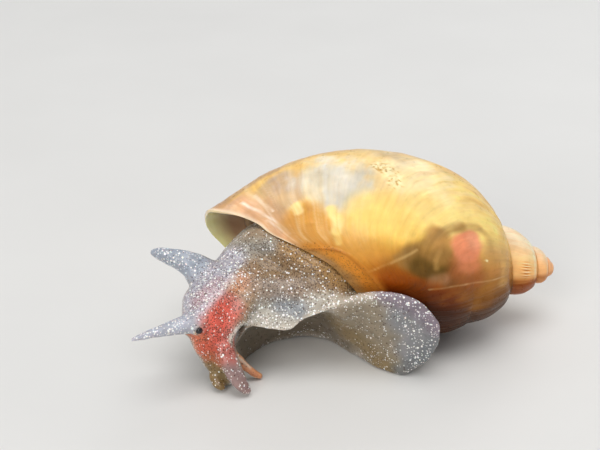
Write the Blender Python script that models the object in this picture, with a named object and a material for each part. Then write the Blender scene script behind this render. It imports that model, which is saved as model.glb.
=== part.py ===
# Pond snail, a still life-size model in the pose of the photo.
# All lengths below are millimetres; MM turns them into metres.
import math

import bmesh
import bpy
import numpy as np
from mathutils import Vector

MM = 0.001

# The shell's axis runs from the front up to the apex, which points back and a little away.
APEX = np.array([8.99, 0.89, 4.00])
AXIS = np.array([0.978, 0.137, -0.160])
AXIS = AXIS / np.linalg.norm(AXIS)

WHORL_RATIO = 1.78        # each turn of the spiral is this much larger
GROWTH = math.log(WHORL_RATIO) / 360.0
SPIRAL_HEAD = 0.92        # the spiral's centre lies this far beyond the blunt tip
ZERO_ANGLE = 25.0         # growth angle at which the profile below is measured
LAST_ANGLE = 118.0        # growth angle of the outer lip
FIRST_ANGLE = LAST_ANGLE - 1080.0
ANGLE_STEP = 7.5
TURN = int(360.0 / ANGLE_STEP)

LIP_WALL = 0.6            # thickness of the flared lip
POCKET_DEPTH = 7.0        # how far the hollow behind the lip goes in
GAP = 0.3                 # space left between neighbouring pieces

ARC_POINTS = 7
REST_POINTS = 15
POCKET_POINTS = 7

# Last whorl from suture to front tip: distance from the axis, distance from the apex.
WHORL_PROFILE = [
    (2.90, 4.75), (4.38, 5.60), (5.08, 6.36), (6.06, 7.75), (6.67, 9.10), (7.05, 10.45),
    (7.35, 13.25), (7.16, 16.10), (6.36, 18.95), (4.77, 21.80), (2.58, 24.50), (2.15, 25.00),
]
# A whorl of the spire, suture to suture, at the same scale.
SPIRE_PROFILE = [(2.75, 4.10), (3.50, 4.48), (4.12, 5.15), (4.62, 6.00), (4.84, 6.90), (4.90, 8.00)]

# Front edge of the shell: growth angle, distance from the axis, distance from the apex.
FRONT_EDGE = [
    (-242, 2.2, 10.0), (-200, 2.6, 11.0), (-155, 3.3, 12.4), (-130, 4.2, 13.4), (-107, 4.8, 14.8),
    (-90, 4.65, 16.2), (-78, 4.3, 17.5), (-71, 3.7, 18.7), (-63, 3.0, 19.8), (-54, 2.5, 20.7),
    (-25, 2.1, 22.2), (3, 1.95, 23.5), (35, 2.05, 24.7), (59, 2.5, 25.15), (81, 3.35, 25.2),
    (92, 4.1, 25.1), (104, 5.2, 24.7), (111, 6.3, 24.0), (118, 7.2, 22.9),
]

# The foot, station by station along the length:
# x, near sole edge (y, z), near rim (y, z), top (y, z), far rim (y, z), far sole edge (y, z)
FOOT_SECTIONS = [
    (-14.2, -6.4, 0.0, -7.4, 1.0, -5.0, 2.0, -2.6, 1.1, -3.2, 0.0),
    (-13.4, -6.0, 0.0, -7.7, 3.0, -4.0, 4.4, -0.2, 1.6, -1.0, 0.0),
    (-12.4, -4.2, 0.0, -7.9, 4.1, -2.8, 6.2, 1.9, 1.8, 1.1, 0.0),
    (-11.0, -2.8, 0.0, -8.1, 4.0, -2.2, 7.2, 3.3, 1.9, 2.3, 0.0),
    (-9.9, -2.4, 0.0, -8.1, 4.0, -1.9, 7.4, 3.9, 2.0, 2.8, 0.0),
    (-9.0, -2.2, 0.0, -7.6, 4.5, -1.7, 7.4, 4.2, 2.0, 3.0, 0.0),
    (-7.9, -2.4, 0.0, -7.4, 4.9, -1.5, 7.2, 4.3, 2.0, 3.1, 0.0),
    (-6.8, -3.2, 0.0, -7.3, 5.5, -1.4, 6.8, 4.2, 1.9, 3.0, 0.0),
    (-5.6, -4.7, 0.0, -7.3, 6.0, -1.5, 5.6, 3.9, 1.7, 2.8, 0.0),
    (-4.1, -6.5, 0.0, -7.5, 6.4, -2.0, 3.6, 3.2, 1.4, 2.2, 0.0),
    (-2.6, -7.5, 0.0, -7.7, 6.3, -3.2, 2.2, 1.4, 1.0, 0.6, 0.0),
    (-1.3, -7.7, 0.7, -8.0, 5.9, -5.0, 1.8, -2.2, 1.0, -3.0, 0.5),
    (-0.4, -8.1, 1.7, -8.3, 5.1, -7.2, 3.0, -6.4, 2.2, -6.6, 1.7),
    (0.15, -8.3, 2.9, -8.4, 4.3, -7.8, 3.6, -7.5, 3.1, -7.6, 2.9),
]

# Soft parts as limbs: x, y, z, half width, half height, roll.
NECK = [
    (-9.6, -0.9, 5.6, 3.0, 2.4, 0), (-11.8, -2.2, 5.4, 2.9, 2.3, 0), (-13.4, -4.0, 5.1, 2.6, 2.1, 0),
    (-14.8, -5.7, 4.8, 2.35, 1.9, 0), (-15.9, -7.0, 4.4, 1.9, 1.6, 0), (-16.6, -7.7, 4.1, 1.0, 1.0, 0),
]
SNOUT = [
    (-15.6, -7.2, 4.6, 1.5, 1.8, 0), (-15.4, -7.7, 3.4, 1.5, 1.7, 0), (-15.1, -8.1, 2.2, 1.3, 1.5, 0),
    (-14.8, -8.5, 1.1, 1.05, 1.2, 0), (-14.6, -8.7, 0.3, 0.8, 0.9, 0),
]
NAPE = [
    (-14.2, -4.2, 5.6, 1.5, 1.5, 0), (-13.7, -3.2, 6.2, 1.45, 1.45, 0), (-13.0, -2.5, 7.0, 1.3, 1.3, 0),
    (-12.4, -2.0, 7.6, 1.15, 1.15, 0), (-11.6, -1.5, 8.0, 1.0, 1.0, 0),
]
# The soft roll that lies just inside the near lip of the shell.
COLLAR = [
    (-13.0, -2.6, 7.5, 0.9, 0.9, 0), (-12.2, -2.7, 8.1, 0.95, 0.95, 0), (-10.8, -3.5, 7.7, 0.95, 0.95, 0),
    (-9.7, -4.0, 7.4, 0.95, 0.95, 0), (-8.6, -4.6, 7.0, 0.95, 0.95, 0), (-7.3, -5.0, 6.5, 0.9, 0.9, 0),
    (-6.2, -4.9, 5.8, 0.8, 0.8, 0),
]
NEAR_FEELER = [
    (-15.2, -8.0, 4.5, 1.2, 1.0, 0), (-16.3, -8.6, 4.7, 1.0, 0.8, 0), (-17.6, -9.3, 4.7, 0.72, 0.55, 0),
    (-19.0, -10.0, 4.7, 0.48, 0.4, 0), (-20.2, -10.6, 4.6, 0.26, 0.26, 0),
]
FAR_FEELER = [
    (-14.4, -5.2, 5.4, 1.6, 1.1, 30), (-15.6, -4.7, 6.1, 1.35, 0.9, 30), (-17.0, -4.25, 6.75, 0.85, 0.65, 25),
    (-18.3, -4.0, 7.25, 0.5, 0.42, 20), (-19.3, -3.85, 7.45, 0.26, 0.26, 0),
]
NEAR_LOBE = [
    (-14.8, -9.0, 2.3, 0.7, 0.8, 0), (-14.2, -9.5, 1.5, 0.85, 0.8, 0), (-13.4, -10.0, 0.8, 0.8, 0.65, 0),
    (-12.7, -10.2, 0.35, 0.45, 0.4, 0),
]
FAR_LOBE = [
    (-15.0, -7.2, 2.3, 0.7, 0.8, 0), (-15.4, -6.5, 1.5, 0.85, 0.8, 0), (-15.2, -5.7, 0.8, 0.8, 0.65, 0),
    (-14.8, -5.0, 0.35, 0.45, 0.4, 0),
]
CORNER = [
    (-13.48, -8.5, 3.0, 0.42, 0.45, 0), (-13.38, -8.46, 2.4, 0.42, 0.42, 0), (-13.15, -8.38, 1.8, 0.4, 0.4, 0),
    (-12.8, -8.25, 1.15, 0.38, 0.34, 0), (-12.3, -8.1, 0.6, 0.34, 0.3, 0), (-12.0, -8.0, 0.28, 0.24, 0.24, 0),
]
MOUTH = [(-15.7, -8.9, 0.9, 0.3, 0.4, 0), (-15.5, -9.4, 0.6, 0.4, 0.5, 0), (-15.1, -9.9, 0.4, 0.3, 0.35, 0)]
EYE_RADIUS = 0.3
NEAR_EYE = (-16.0, -9.3, 4.55)
FAR_EYE = (-15.6, -4.6, 6.7)
HEAD_CUT = ((-13.9, -4.6, 5.0), (-0.62, -0.77, -0.1))
FOOT_CUTS = (-12.4, -6.6)
SPIRE_CUT = 3.45
LIP_CUT = 19.4


def keyed(table, at):
    """Smooth curve through rows keyed by their first column."""
    rows = np.array(table, float)
    x = rows[:, 0]
    y = rows[:, 1:]
    slope = np.gradient(y, x, axis=0)
    at = np.clip(np.atleast_1d(np.asarray(at, float)), x[0], x[-1])
    i = np.clip(np.searchsorted(x, at, side="right") - 1, 0, len(x) - 2)
    w = (x[i + 1] - x[i])
    t = ((at - x[i]) / w)[:, None]
    w = w[:, None]
    return ((2 * t**3 - 3 * t**2 + 1) * y[i] + (t**3 - 2 * t**2 + t) * w * slope[i]
            + (-2 * t**3 + 3 * t**2) * y[i + 1] + (t**3 - t**2) * w * slope[i + 1])


def by_length(points, count):
    """Even points along a smooth curve through the given ones."""
    rows = np.array(points, float)
    reach = np.concatenate([[0.0], np.cumsum(np.linalg.norm(np.diff(rows, axis=0), axis=1))])
    table = np.column_stack([reach, rows])
    return keyed(table, np.linspace(0.0, reach[-1], count))


UP = np.array([0.0, 0.0, 1.0])
RING_UP = UP - UP.dot(AXIS) * AXIS
RING_UP = RING_UP / np.linalg.norm(RING_UP)
RING_FAR = np.cross(RING_UP, AXIS)


def shell_point(angle, radius, along):
    a = math.radians(angle)
    return APEX - AXIS * along + radius * (math.cos(a) * RING_UP + math.sin(a) * RING_FAR)


def split_profile():
    """The measured profile, cut where the next whorl would meet it."""
    rows = np.array(WHORL_PROFILE, float)
    rows[:, 1] += SPIRAL_HEAD
    fine = by_length(rows, 400)
    meet = (WHORL_PROFILE[0][1] + SPIRAL_HEAD) * WHORL_RATIO
    cut = int(np.argmin(np.abs(fine[:, 1] - meet)))
    arc = by_length(fine[:cut + 1:8], ARC_POINTS)
    arc[-1] = fine[cut]
    rest = by_length(fine[cut::8], REST_POINTS + 1)
    rest[0] = fine[cut]
    spire = np.array(SPIRE_PROFILE, float)
    spire[:, 1] += SPIRAL_HEAD
    spire = by_length(spire, ARC_POINTS)
    spire[-1] = spire[0] * WHORL_RATIO
    return arc, rest, spire


ARC, REST, SPIRE_ARC = split_profile()


def fullness(angle):
    """0 for the whorls of the spire, 1 for the swollen last whorl."""
    t = min(1.0, max(0.0, (angle + 335.0) / 360.0))
    return t * t * (3 - 2 * t)


def arc_at(angle):
    """Shoulder of the whorl, from its suture to the line where the next whorl meets it."""
    size = math.exp(GROWTH * (angle - ZERO_ANGLE))
    full = fullness(angle)
    return size * ((1 - full) * SPIRE_ARC + full * ARC)


def stage(angle):
    """Arc and rest of the whorl's profile at one growth angle, as (radius, along)."""
    size = math.exp(GROWTH * (angle - ZERO_ANGLE))
    arc = arc_at(angle)
    if angle + 360.0 <= LAST_ANGLE:
        reach = arc_at(angle + 360.0)[0] - arc[-1]
        arc = arc + np.linspace(0.0, 1.0, ARC_POINTS)[:, None] * reach
    tip_radius, tip_along = keyed(FRONT_EDGE, angle)[0]
    tip = tip_along + SPIRAL_HEAD
    rest = size * REST
    t = np.linspace(0.0, 1.0, REST_POINTS + 1)
    start = arc[-1]
    stretch = (tip - start[1]) / (rest[-1, 1] - rest[0, 1])
    out = rest.copy()
    out[:, 1] = start[1] + (rest[:, 1] - rest[0, 1]) * stretch
    out[:, 0] = rest[:, 0] + (start[0] - rest[0, 0]) * (1 - t)**2 + (tip_radius - rest[-1, 0]) * t**3
    arc = arc.copy()
    arc[:, 1] -= SPIRAL_HEAD
    out[:, 1] -= SPIRAL_HEAD
    return arc, out[1:]


def shell_mesh(name, swell=0.0, wall=LIP_WALL):
    """The whole shell as one closed surface, its lip hollowed to a pocket."""
    verts = []
    faces = []
    angles = np.arange(FIRST_ANGLE, LAST_ANGLE + 0.01, ANGLE_STEP)
    count = len(angles)
    body = count - 1 - TURN
    starts = []
    grid = {}

    def add(angle, radius, along):
        verts.append(shell_point(angle, radius, along) * MM)
        return len(verts) - 1

    for i, angle in enumerate(angles):
        arc, rest = stage(angle)
        push = swell * min(1.0, 0.35 + 0.65 * (i / body))
        starts.append(add(angle, arc[0, 0] + push, arc[0, 1]))
        grid[i] = [starts[i]]
        for j in range(1, ARC_POINTS - 1):
            grid[i].append(add(angle, arc[j, 0] + push, arc[j, 1]))
        if i < body:
            grid[i].append(None)
            continue
        edge = add(angle, arc[-1, 0] + push, arc[-1, 1]) if i > body else None
        grid[i].append(edge)
        for j in range(REST_POINTS):
            last = j == REST_POINTS - 1
            grid[i].append(add(angle, rest[j, 0] + push, rest[j, 1] + (push if last else 0.0)))
        # back along the inside of the lip
        depth = POCKET_DEPTH * min(1.0, max(0.0, (angle + 70.0) / 60.0))
        outer = np.vstack([arc, rest])
        tip_along = rest[-1, 1] + push
        for j in range(1, POCKET_POINTS + 1):
            along = tip_along - depth * j / POCKET_POINTS
            at = np.interp(along, outer[:, 1], outer[:, 0])
            inner = max(0.25 + 0.1 * (POCKET_POINTS - j), at + swell - wall)
            if depth < 0.5:
                inner = (rest[-1, 0] + push) * (1 - j / (POCKET_POINTS + 1.0))
                along = tip_along - 1.2 * j / POCKET_POINTS
            else:
                inner = inner * 1.0
            grid[i].append(add(angle, inner, along))
    for i in range(body + 1):
        grid[i][ARC_POINTS - 1] = starts[i + TURN]
    middle = add(0.0, 0.0, 12.5)
    tip = add(0.0, 0.0, -0.1 - swell * 0.4)

    for i in range(count - 1):
        rows = ARC_POINTS - 1 if i < body else len(grid[i + 1]) - 1
        if i < body:
            rows = ARC_POINTS - 1
        for j in range(rows):
            quad = (grid[i][j], grid[i + 1][j], grid[i + 1][j + 1], grid[i][j + 1])
            faces.append(quad)
    # blunt tip
    for i in range(TURN):
        faces.append((tip, grid[i + 1][0], grid[i][0]))
    for j in range(ARC_POINTS - 1):
        faces.append((tip, grid[0][j], grid[0][j + 1]))
    # floor of the hollow
    for i in range(body, count - 1):
        faces.append((middle, grid[i][-1], grid[i + 1][-1]))
    # step where the lip stands over the whorl before it
    lip = grid[count - 1]
    before = grid[body]
    skip = ARC_POINTS - 1
    spare = len(lip) - (len(before) - skip)
    for j in range(spare):
        faces.append((lip[j], before[skip], lip[j + 1]))
    for j in range(spare, len(lip) - 1):
        k = j - spare + skip
        faces.append((lip[j], before[k], before[k + 1], lip[j + 1]))
    faces.append((lip[-1], before[-1], middle))
    return make_object(name, verts, faces)


def make_object(name, verts, faces):
    mesh = bpy.data.meshes.new(name)
    mesh.from_pydata([tuple(v) for v in verts], [], faces)
    bm = bmesh.new()
    bm.from_mesh(mesh)
    bmesh.ops.remove_doubles(bm, verts=bm.verts, dist=1e-7)
    bmesh.ops.triangulate(bm, faces=bm.faces)
    bmesh.ops.recalc_face_normals(bm, faces=bm.faces)
    if bm.calc_volume(signed=True) < 0:
        bmesh.ops.reverse_faces(bm, faces=bm.faces)
    bm.to_mesh(mesh)
    bm.free()
    obj = bpy.data.objects.new(name, mesh)
    bpy.context.scene.collection.objects.link(obj)
    return obj


def frame_along(path, roll):
    """Side and up vectors for each point of a path."""
    tangent = np.gradient(path, axis=0)
    tangent = tangent / np.linalg.norm(tangent, axis=1)[:, None]
    side = np.cross(tangent, UP)
    side = side / np.maximum(np.linalg.norm(side, axis=1), 1e-6)[:, None]
    lift = np.cross(side, tangent)
    a = np.radians(roll)[:, None]
    return np.cos(a) * side + np.sin(a) * lift, -np.sin(a) * side + np.cos(a) * lift


def limb(name, keys, rings=20, sides=20, floor=None):
    """A closed tapering form through keys: x, y, z, half width, half height, roll in degrees."""
    rows = by_length(keys, rings)
    path = rows[:, :3]
    side, lift = frame_along(path, rows[:, 5])
    tangent = np.gradient(path, axis=0)
    tangent = tangent / np.linalg.norm(tangent, axis=1)[:, None]
    verts = []
    faces = []
    for i in range(rings):
        for j in range(sides):
            a = 2 * math.pi * j / sides
            p = path[i] + rows[i, 3] * math.cos(a) * side[i] + rows[i, 4] * math.sin(a) * lift[i]
            verts.append(p)
    first = len(verts)
    verts.append(path[0] - tangent[0] * 0.35 * min(rows[0, 3], rows[0, 4]))
    verts.append(path[-1] + tangent[-1] * 0.35 * min(rows[-1, 3], rows[-1, 4]))
    for i in range(rings - 1):
        for j in range(sides):
            k = (j + 1) % sides
            faces.append((i * sides + j, i * sides + k, (i + 1) * sides + k, (i + 1) * sides + j))
    for j in range(sides):
        k = (j + 1) % sides
        faces.append((first, k, j))
        faces.append((first + 1, (rings - 1) * sides + j, (rings - 1) * sides + k))
    if floor is not None:
        verts = [np.array([v[0], v[1], max(v[2], floor)]) for v in verts]
    return make_object(name, [v * MM for v in verts], faces)


def foot_ring(row, sides):
    """One outline of the foot, counter-clockwise seen from the tail."""
    x, ny, nz, ry, rz, ty, tz, fy, fz, sy, sz = row
    fold = 0.75
    lift = min(0.5, max(0.0, (-5.5 - x) / 4.0))   # the flank is fuller under the neck
    corners = [
        (ny, nz), (ny + 0.45 * (ry - ny) - 0.1, nz + 0.45 * (rz - nz)), (ry - 0.05, rz - 0.5),
        (ry + 0.25, rz + 0.05), (ry + fold, rz - 0.35 + lift),
        (0.5 * (ry + ty), 0.5 * (rz + tz) - 0.1 + lift),
        (ty, tz), (0.5 * (ty + fy), 0.5 * (tz + fz) + 0.5), (fy, fz), (sy, sz),
        (0.5 * (sy + ny), 0.5 * (sz + nz)),
    ]
    loop = np.array(corners + corners[:1], float)
    return by_length(loop, sides + 1)[:-1]


def foot(name, grow=0.0, sides=36, rings=34):
    rows = by_length([(s[0],) + tuple(s[1:]) for s in FOOT_SECTIONS], rings)
    verts = []
    faces = []
    for row in rows:
        ring = foot_ring(row, sides)
        for y, z in ring:
            verts.append(np.array([row[0], y, max(0.0, z)]))
    for i in range(rings - 1):
        for j in range(sides):
            k = (j + 1) % sides
            faces.append((i * sides + j, (i + 1) * sides + j, (i + 1) * sides + k, i * sides + k))
    for end, ring in ((0, 0), (1, rings - 1)):
        centre = np.mean(verts[ring * sides:(ring + 1) * sides], axis=0)
        centre[0] += 0.4 if end else -0.4
        verts.append(centre)
        c = len(verts) - 1
        for j in range(sides):
            k = (j + 1) % sides
            faces.append((c, ring * sides + j, ring * sides + k))
    return make_object(name, [v * MM for v in verts], faces)


def ball(name, centre, radii, segments=20, rings=12):
    mesh = bpy.data.meshes.new(name)
    bm = bmesh.new()
    bmesh.ops.create_uvsphere(bm, u_segments=segments, v_segments=rings, radius=1.0)
    for v in bm.verts:
        v.co = [(centre[a] + v.co[a] * radii[a]) * MM for a in range(3)]
    bm.to_mesh(mesh)
    bm.free()
    obj = bpy.data.objects.new(name, mesh)
    bpy.context.scene.collection.objects.link(obj)
    return obj


def slab(name, point, normal, reach=60.0, half=GAP / 2):
    """A wide thin plate square to the given direction."""
    n = np.array(normal, float)
    n = n / np.linalg.norm(n)
    a = np.cross(n, UP if abs(n[2]) < 0.9 else np.array([1.0, 0.0, 0.0]))
    a = a / np.linalg.norm(a)
    b = np.cross(n, a)
    verts = []
    for s in (-half, half):
        for u, v in ((-1, -1), (1, -1), (1, 1), (-1, 1)):
            verts.append((np.array(point) + n * s + a * u * reach / 2 + b * v * reach / 2) * MM)
    faces = [(0, 1, 2, 3), (7, 6, 5, 4), (0, 4, 5, 1), (1, 5, 6, 2), (2, 6, 7, 3), (3, 7, 4, 0)]
    return make_object(name, verts, faces)


def half_space(name, point, normal, reach=60.0):
    """A large block on the side of the plane that the direction points to."""
    n = np.array(normal, float)
    n = n / np.linalg.norm(n)
    return slab(name, np.array(point) + n * reach / 2, n, reach, reach / 2)


def combine(target, other, operation, solver="MANIFOLD"):
    """Apply one Boolean and remove the other object."""
    bpy.context.view_layer.update()
    mod = target.modifiers.new("cut", "BOOLEAN")
    mod.operation = operation
    mod.object = other
    mod.solver = solver
    graph = bpy.context.evaluated_depsgraph_get()
    result = bpy.data.meshes.new_from_object(target.evaluated_get(graph))
    target.modifiers.clear()
    old = target.data
    target.data = result
    bpy.data.meshes.remove(old)
    return target


def drop(*objects):
    for obj in objects:
        bpy.data.objects.remove(obj, do_unlink=True)


def copy_of(obj, name):
    twin = obj.copy()
    twin.data = obj.data.copy()
    twin.name = name
    bpy.context.scene.collection.objects.link(twin)
    return twin


def keep_largest(obj):
    """Keep only the largest closed surface of a node, with clean edges."""
    bm = bmesh.new()
    bm.from_mesh(obj.data)
    bmesh.ops.remove_doubles(bm, verts=bm.verts, dist=2e-6)
    bmesh.ops.dissolve_degenerate(bm, dist=1e-6, edges=bm.edges)
    bmesh.ops.triangulate(bm, faces=bm.faces)
    seen = set()
    groups = []
    for face in bm.faces:
        if face in seen:
            continue
        group = []
        stack = [face]
        seen.add(face)
        while stack:
            f = stack.pop()
            group.append(f)
            for e in f.edges:
                for g in e.link_faces:
                    if g not in seen:
                        seen.add(g)
                        stack.append(g)
        groups.append(group)
    groups.sort(key=lambda g: -abs(sum(f.calc_area() for f in g)))
    for group in groups[1:]:
        bmesh.ops.delete(bm, geom=group, context="FACES")
    loose = [v for v in bm.verts if not v.link_faces]
    bmesh.ops.delete(bm, geom=loose, context="VERTS")
    bmesh.ops.recalc_face_normals(bm, faces=bm.faces)
    if bm.calc_volume(signed=True) < 0:
        bmesh.ops.reverse_faces(bm, faces=bm.faces)
    bm.to_mesh(obj.data)
    bm.free()
    return obj


def part_of(source, name, point, normal):
    """The piece of a form on one side of a plane."""
    piece = copy_of(source, name)
    block = half_space("block", point, normal)
    combine(piece, block, "INTERSECT")
    drop(block)
    return keep_largest(piece)


def material(name, colour, roughness):
    mat = bpy.data.materials.new(name)
    mat.use_nodes = True
    shader = mat.node_tree.nodes["Principled BSDF"]
    shader.inputs["Base Color"].default_value = (*colour, 1.0)
    shader.inputs["Roughness"].default_value = roughness
    return mat


def clear_scene():
    for obj in list(bpy.data.objects):
        bpy.data.objects.remove(obj, do_unlink=True)


def grown(keys, amount):
    return [(k[0], k[1], k[2], k[3] + amount, k[4] + amount, k[5]) for k in keys]


def between(source, name, low, high):
    """The piece of a form between two planes across the length."""
    piece = copy_of(source, name)
    if low is not None:
        block = half_space("block", (low + GAP / 2, 0, 0), (1, 0, 0))
        combine(piece, block, "INTERSECT")
        drop(block)
    if high is not None:
        block = half_space("block", (high - GAP / 2, 0, 0), (-1, 0, 0))
        combine(piece, block, "INTERSECT")
        drop(block)
    return keep_largest(piece)


def build_shell():
    shell = shell_mesh("shell")
    spire_at = APEX - AXIS * SPIRE_CUT
    lip_at = APEX - AXIS * LIP_CUT
    spire = part_of(shell, "shell_spire", spire_at + AXIS * GAP / 2, AXIS)
    lip = part_of(shell, "shell_lip", lip_at - AXIS * GAP / 2, -AXIS)
    rest = part_of(shell, "rest", spire_at - AXIS * GAP / 2, -AXIS)
    whorl = part_of(rest, "shell_body_whorl", lip_at + AXIS * GAP / 2, AXIS)
    drop(shell, rest)
    return [spire, whorl, lip]


def cut_by(obj, *cutters):
    for cutter in cutters:
        combine(obj, cutter, "DIFFERENCE")
    return keep_largest(obj)


def build_soft():
    swollen = shell_mesh("swollen", GAP, LIP_WALL + 2 * GAP)
    head_neck = limb("head_neck", NECK, 24, 24)
    snout = limb("snout", SNOUT, 16, 20, 0.0)
    combine(head_neck, snout, "UNION")
    nape = limb("nape", NAPE, 10, 16)
    collar = limb("collar", COLLAR, 14, 16)
    combine(head_neck, nape, "UNION")
    combine(head_neck, collar, "UNION")
    drop(snout, nape, collar)
    neck_big = limb("neck_big", grown(NECK, GAP), 24, 24)
    snout_big = limb("snout_big", grown(SNOUT, GAP), 16, 20)
    nape_big = limb("nape_big", grown(NAPE, GAP), 10, 16)
    collar_big = limb("collar_big", grown(COLLAR, GAP), 14, 16)
    combine(neck_big, snout_big, "UNION")
    combine(neck_big, nape_big, "UNION")
    combine(neck_big, collar_big, "UNION")
    drop(snout_big, nape_big, collar_big)
    eye_left = ball("eye_left", NEAR_EYE, (EYE_RADIUS,) * 3)
    eye_right = ball("eye_right", FAR_EYE, (EYE_RADIUS,) * 3)
    socket_left = ball("socket_left", NEAR_EYE, (EYE_RADIUS + 0.15,) * 3)
    socket_right = ball("socket_right", FAR_EYE, (EYE_RADIUS + 0.15,) * 3)
    cut_by(head_neck, swollen)
    at, facing = HEAD_CUT
    n = np.array(facing) / np.linalg.norm(facing)
    head = part_of(head_neck, "head", np.array(at) + n * GAP / 2, n)
    neck = part_of(head_neck, "neck", np.array(at) - n * GAP / 2, -n)
    drop(head_neck)
    near = limb("tentacle_left", NEAR_FEELER)
    far = limb("tentacle_right", FAR_FEELER)
    cut_by(near, neck_big, socket_left)
    cut_by(far, neck_big, swollen, socket_right)
    cut_by(head, socket_left, socket_right)
    near_lobe = limb("oral_lobe_left", NEAR_LOBE, 14, 16, 0.0)
    far_lobe = limb("oral_lobe_right", FAR_LOBE, 14, 16, 0.0)
    near_lobe_big = limb("near_lobe_big", grown(NEAR_LOBE, GAP), 14, 16)
    far_lobe_big = limb("far_lobe_big", grown(FAR_LOBE, GAP), 14, 16)
    cut_by(near_lobe, neck_big)
    cut_by(far_lobe, neck_big)
    mouth = limb("mouth", MOUTH, 10, 12, 0.0)
    cut_by(mouth, neck_big, near_lobe_big)
    corner = limb("foot_corner", CORNER, 14, 14, 0.0)
    corner_big = limb("corner_big", grown(CORNER, GAP), 14, 14)
    cut_by(corner, neck_big, near_lobe_big)
    whole_foot = foot("whole_foot")
    cut_by(whole_foot, swollen, neck_big, near_lobe_big, far_lobe_big, corner_big)
    first, second = FOOT_CUTS
    front = between(whole_foot, "foot_front", None, first)
    middle = between(whole_foot, "foot_middle", first, second)
    tail = between(whole_foot, "foot_tail", second, None)
    drop(whole_foot, swollen, neck_big, near_lobe_big, far_lobe_big, corner_big, socket_left, socket_right)
    return [head, neck, near, far, near_lobe, far_lobe, mouth, corner, front, middle, tail], [eye_left, eye_right]


def settle(objects):
    """Stand the model on the floor with its box centred on the origin."""
    points = np.array([v.co for obj in objects for v in obj.data.vertices])
    low = points.min(axis=0)
    high = points.max(axis=0)
    shift = Vector((-(low[0] + high[0]) / 2, -(low[1] + high[1]) / 2, -low[2]))
    for obj in objects:
        for v in obj.data.vertices:
            v.co += shift
        obj.data.update()


def build():
    clear_scene()
    soft, eyes = build_soft()
    skin = material("skin", (0.62, 0.55, 0.48), 0.4)
    horn = material("horn", (0.72, 0.55, 0.28), 0.25)
    dark = material("eye", (0.02, 0.02, 0.02), 0.1)
    for obj in soft:
        obj.data.materials.clear()
        obj.data.materials.append(skin)
    for obj in eyes:
        obj.data.materials.append(dark)
    shell = build_shell()
    for obj in shell:
        obj.data.materials.clear()
        obj.data.materials.append(horn)
    settle(soft + eyes + shell)


build()
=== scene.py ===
import bmesh
import bpy
import numpy as np
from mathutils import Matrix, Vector


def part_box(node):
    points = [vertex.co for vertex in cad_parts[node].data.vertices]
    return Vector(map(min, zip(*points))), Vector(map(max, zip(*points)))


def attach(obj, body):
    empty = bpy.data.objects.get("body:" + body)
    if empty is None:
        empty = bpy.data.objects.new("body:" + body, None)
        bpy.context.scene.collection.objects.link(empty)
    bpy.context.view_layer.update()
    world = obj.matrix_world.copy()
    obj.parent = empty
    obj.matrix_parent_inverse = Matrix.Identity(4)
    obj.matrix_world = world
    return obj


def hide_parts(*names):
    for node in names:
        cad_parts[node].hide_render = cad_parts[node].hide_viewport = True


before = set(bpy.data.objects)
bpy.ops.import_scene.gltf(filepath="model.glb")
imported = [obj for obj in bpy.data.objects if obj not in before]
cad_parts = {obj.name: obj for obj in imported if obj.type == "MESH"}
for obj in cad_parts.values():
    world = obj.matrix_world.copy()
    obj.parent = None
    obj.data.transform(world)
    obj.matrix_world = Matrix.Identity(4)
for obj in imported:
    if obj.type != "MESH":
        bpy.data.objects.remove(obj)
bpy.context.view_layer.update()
mm = 0.001
up = np.array([0.0, 0.0, 1.0])

nearEye = np.array([-16.0, -9.3, 4.55])
farEye = np.array([-15.6, -4.6, 6.7])
eyeLow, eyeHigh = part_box("eye_left")
frameShift = (np.array(eyeLow) + np.array(eyeHigh)) / 2 / mm - nearEye
print("frame loaded, layout shift", frameShift.round(3))


# Small tools
def toFrame(points):
    return (np.asarray(points, float) + frameShift) * mm


def unit(v):
    v = np.asarray(v, float)
    return v / np.linalg.norm(v)


def ease(t):
    t = np.clip(t, 0.0, 1.0)
    return t * t * (3 - 2 * t)


def fade(values, start, end):  # 0 at start, 1 from end on, smooth between; end may be the smaller one
    return ease((values - start) / (end - start))


def keyed(table, at):  # smooth curve through rows keyed by their first column
    rows = np.array(table, float)
    x = rows[:, 0]
    y = rows[:, 1:]
    slope = np.gradient(y, x, axis=0)
    at = np.clip(np.atleast_1d(np.asarray(at, float)), x[0], x[-1])
    i = np.clip(np.searchsorted(x, at, side="right") - 1, 0, len(x) - 2)
    w = x[i + 1] - x[i]
    t = ((at - x[i]) / w)[:, None]
    w = w[:, None]
    return ((2 * t**3 - 3 * t**2 + 1) * y[i] + (t**3 - 2 * t**2 + t) * w * slope[i]
            + (-2 * t**3 + 3 * t**2) * y[i + 1] + (t**3 - t**2) * w * slope[i + 1])


def evenCurve(points, count):  # even points along a smooth curve through the given ones
    rows = np.array(points, float)
    reach = np.concatenate([[0.0], np.cumsum(np.linalg.norm(np.diff(rows, axis=0), axis=1))])
    return keyed(np.column_stack([reach, rows]), np.linspace(0.0, reach[-1], count))


lumpCells = 32
lumpTable = np.random.default_rng(7).random((lumpCells, lumpCells, lumpCells)) * 2 - 1


def lumps(points, size, layers=1):  # soft random relief, about -1 to 1, with lumps of this size
    layerShift = 11.3   # keeps the layers from lining up
    total = np.zeros(len(points))
    for layer in range(layers):
        p = np.asarray(points, float) * 2**layer / size + layerShift * layer
        low = np.floor(p).astype(int)
        f = ease(p - low)
        for corner in range(8):
            c = np.array([corner & 1, corner >> 1 & 1, corner >> 2])
            weight = np.prod(np.where(c, f, 1 - f), axis=1)
            cell = (low + c) % lumpCells
            total += weight * lumpTable[cell[:, 0], cell[:, 1], cell[:, 2]] / 2**layer
    return total


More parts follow.
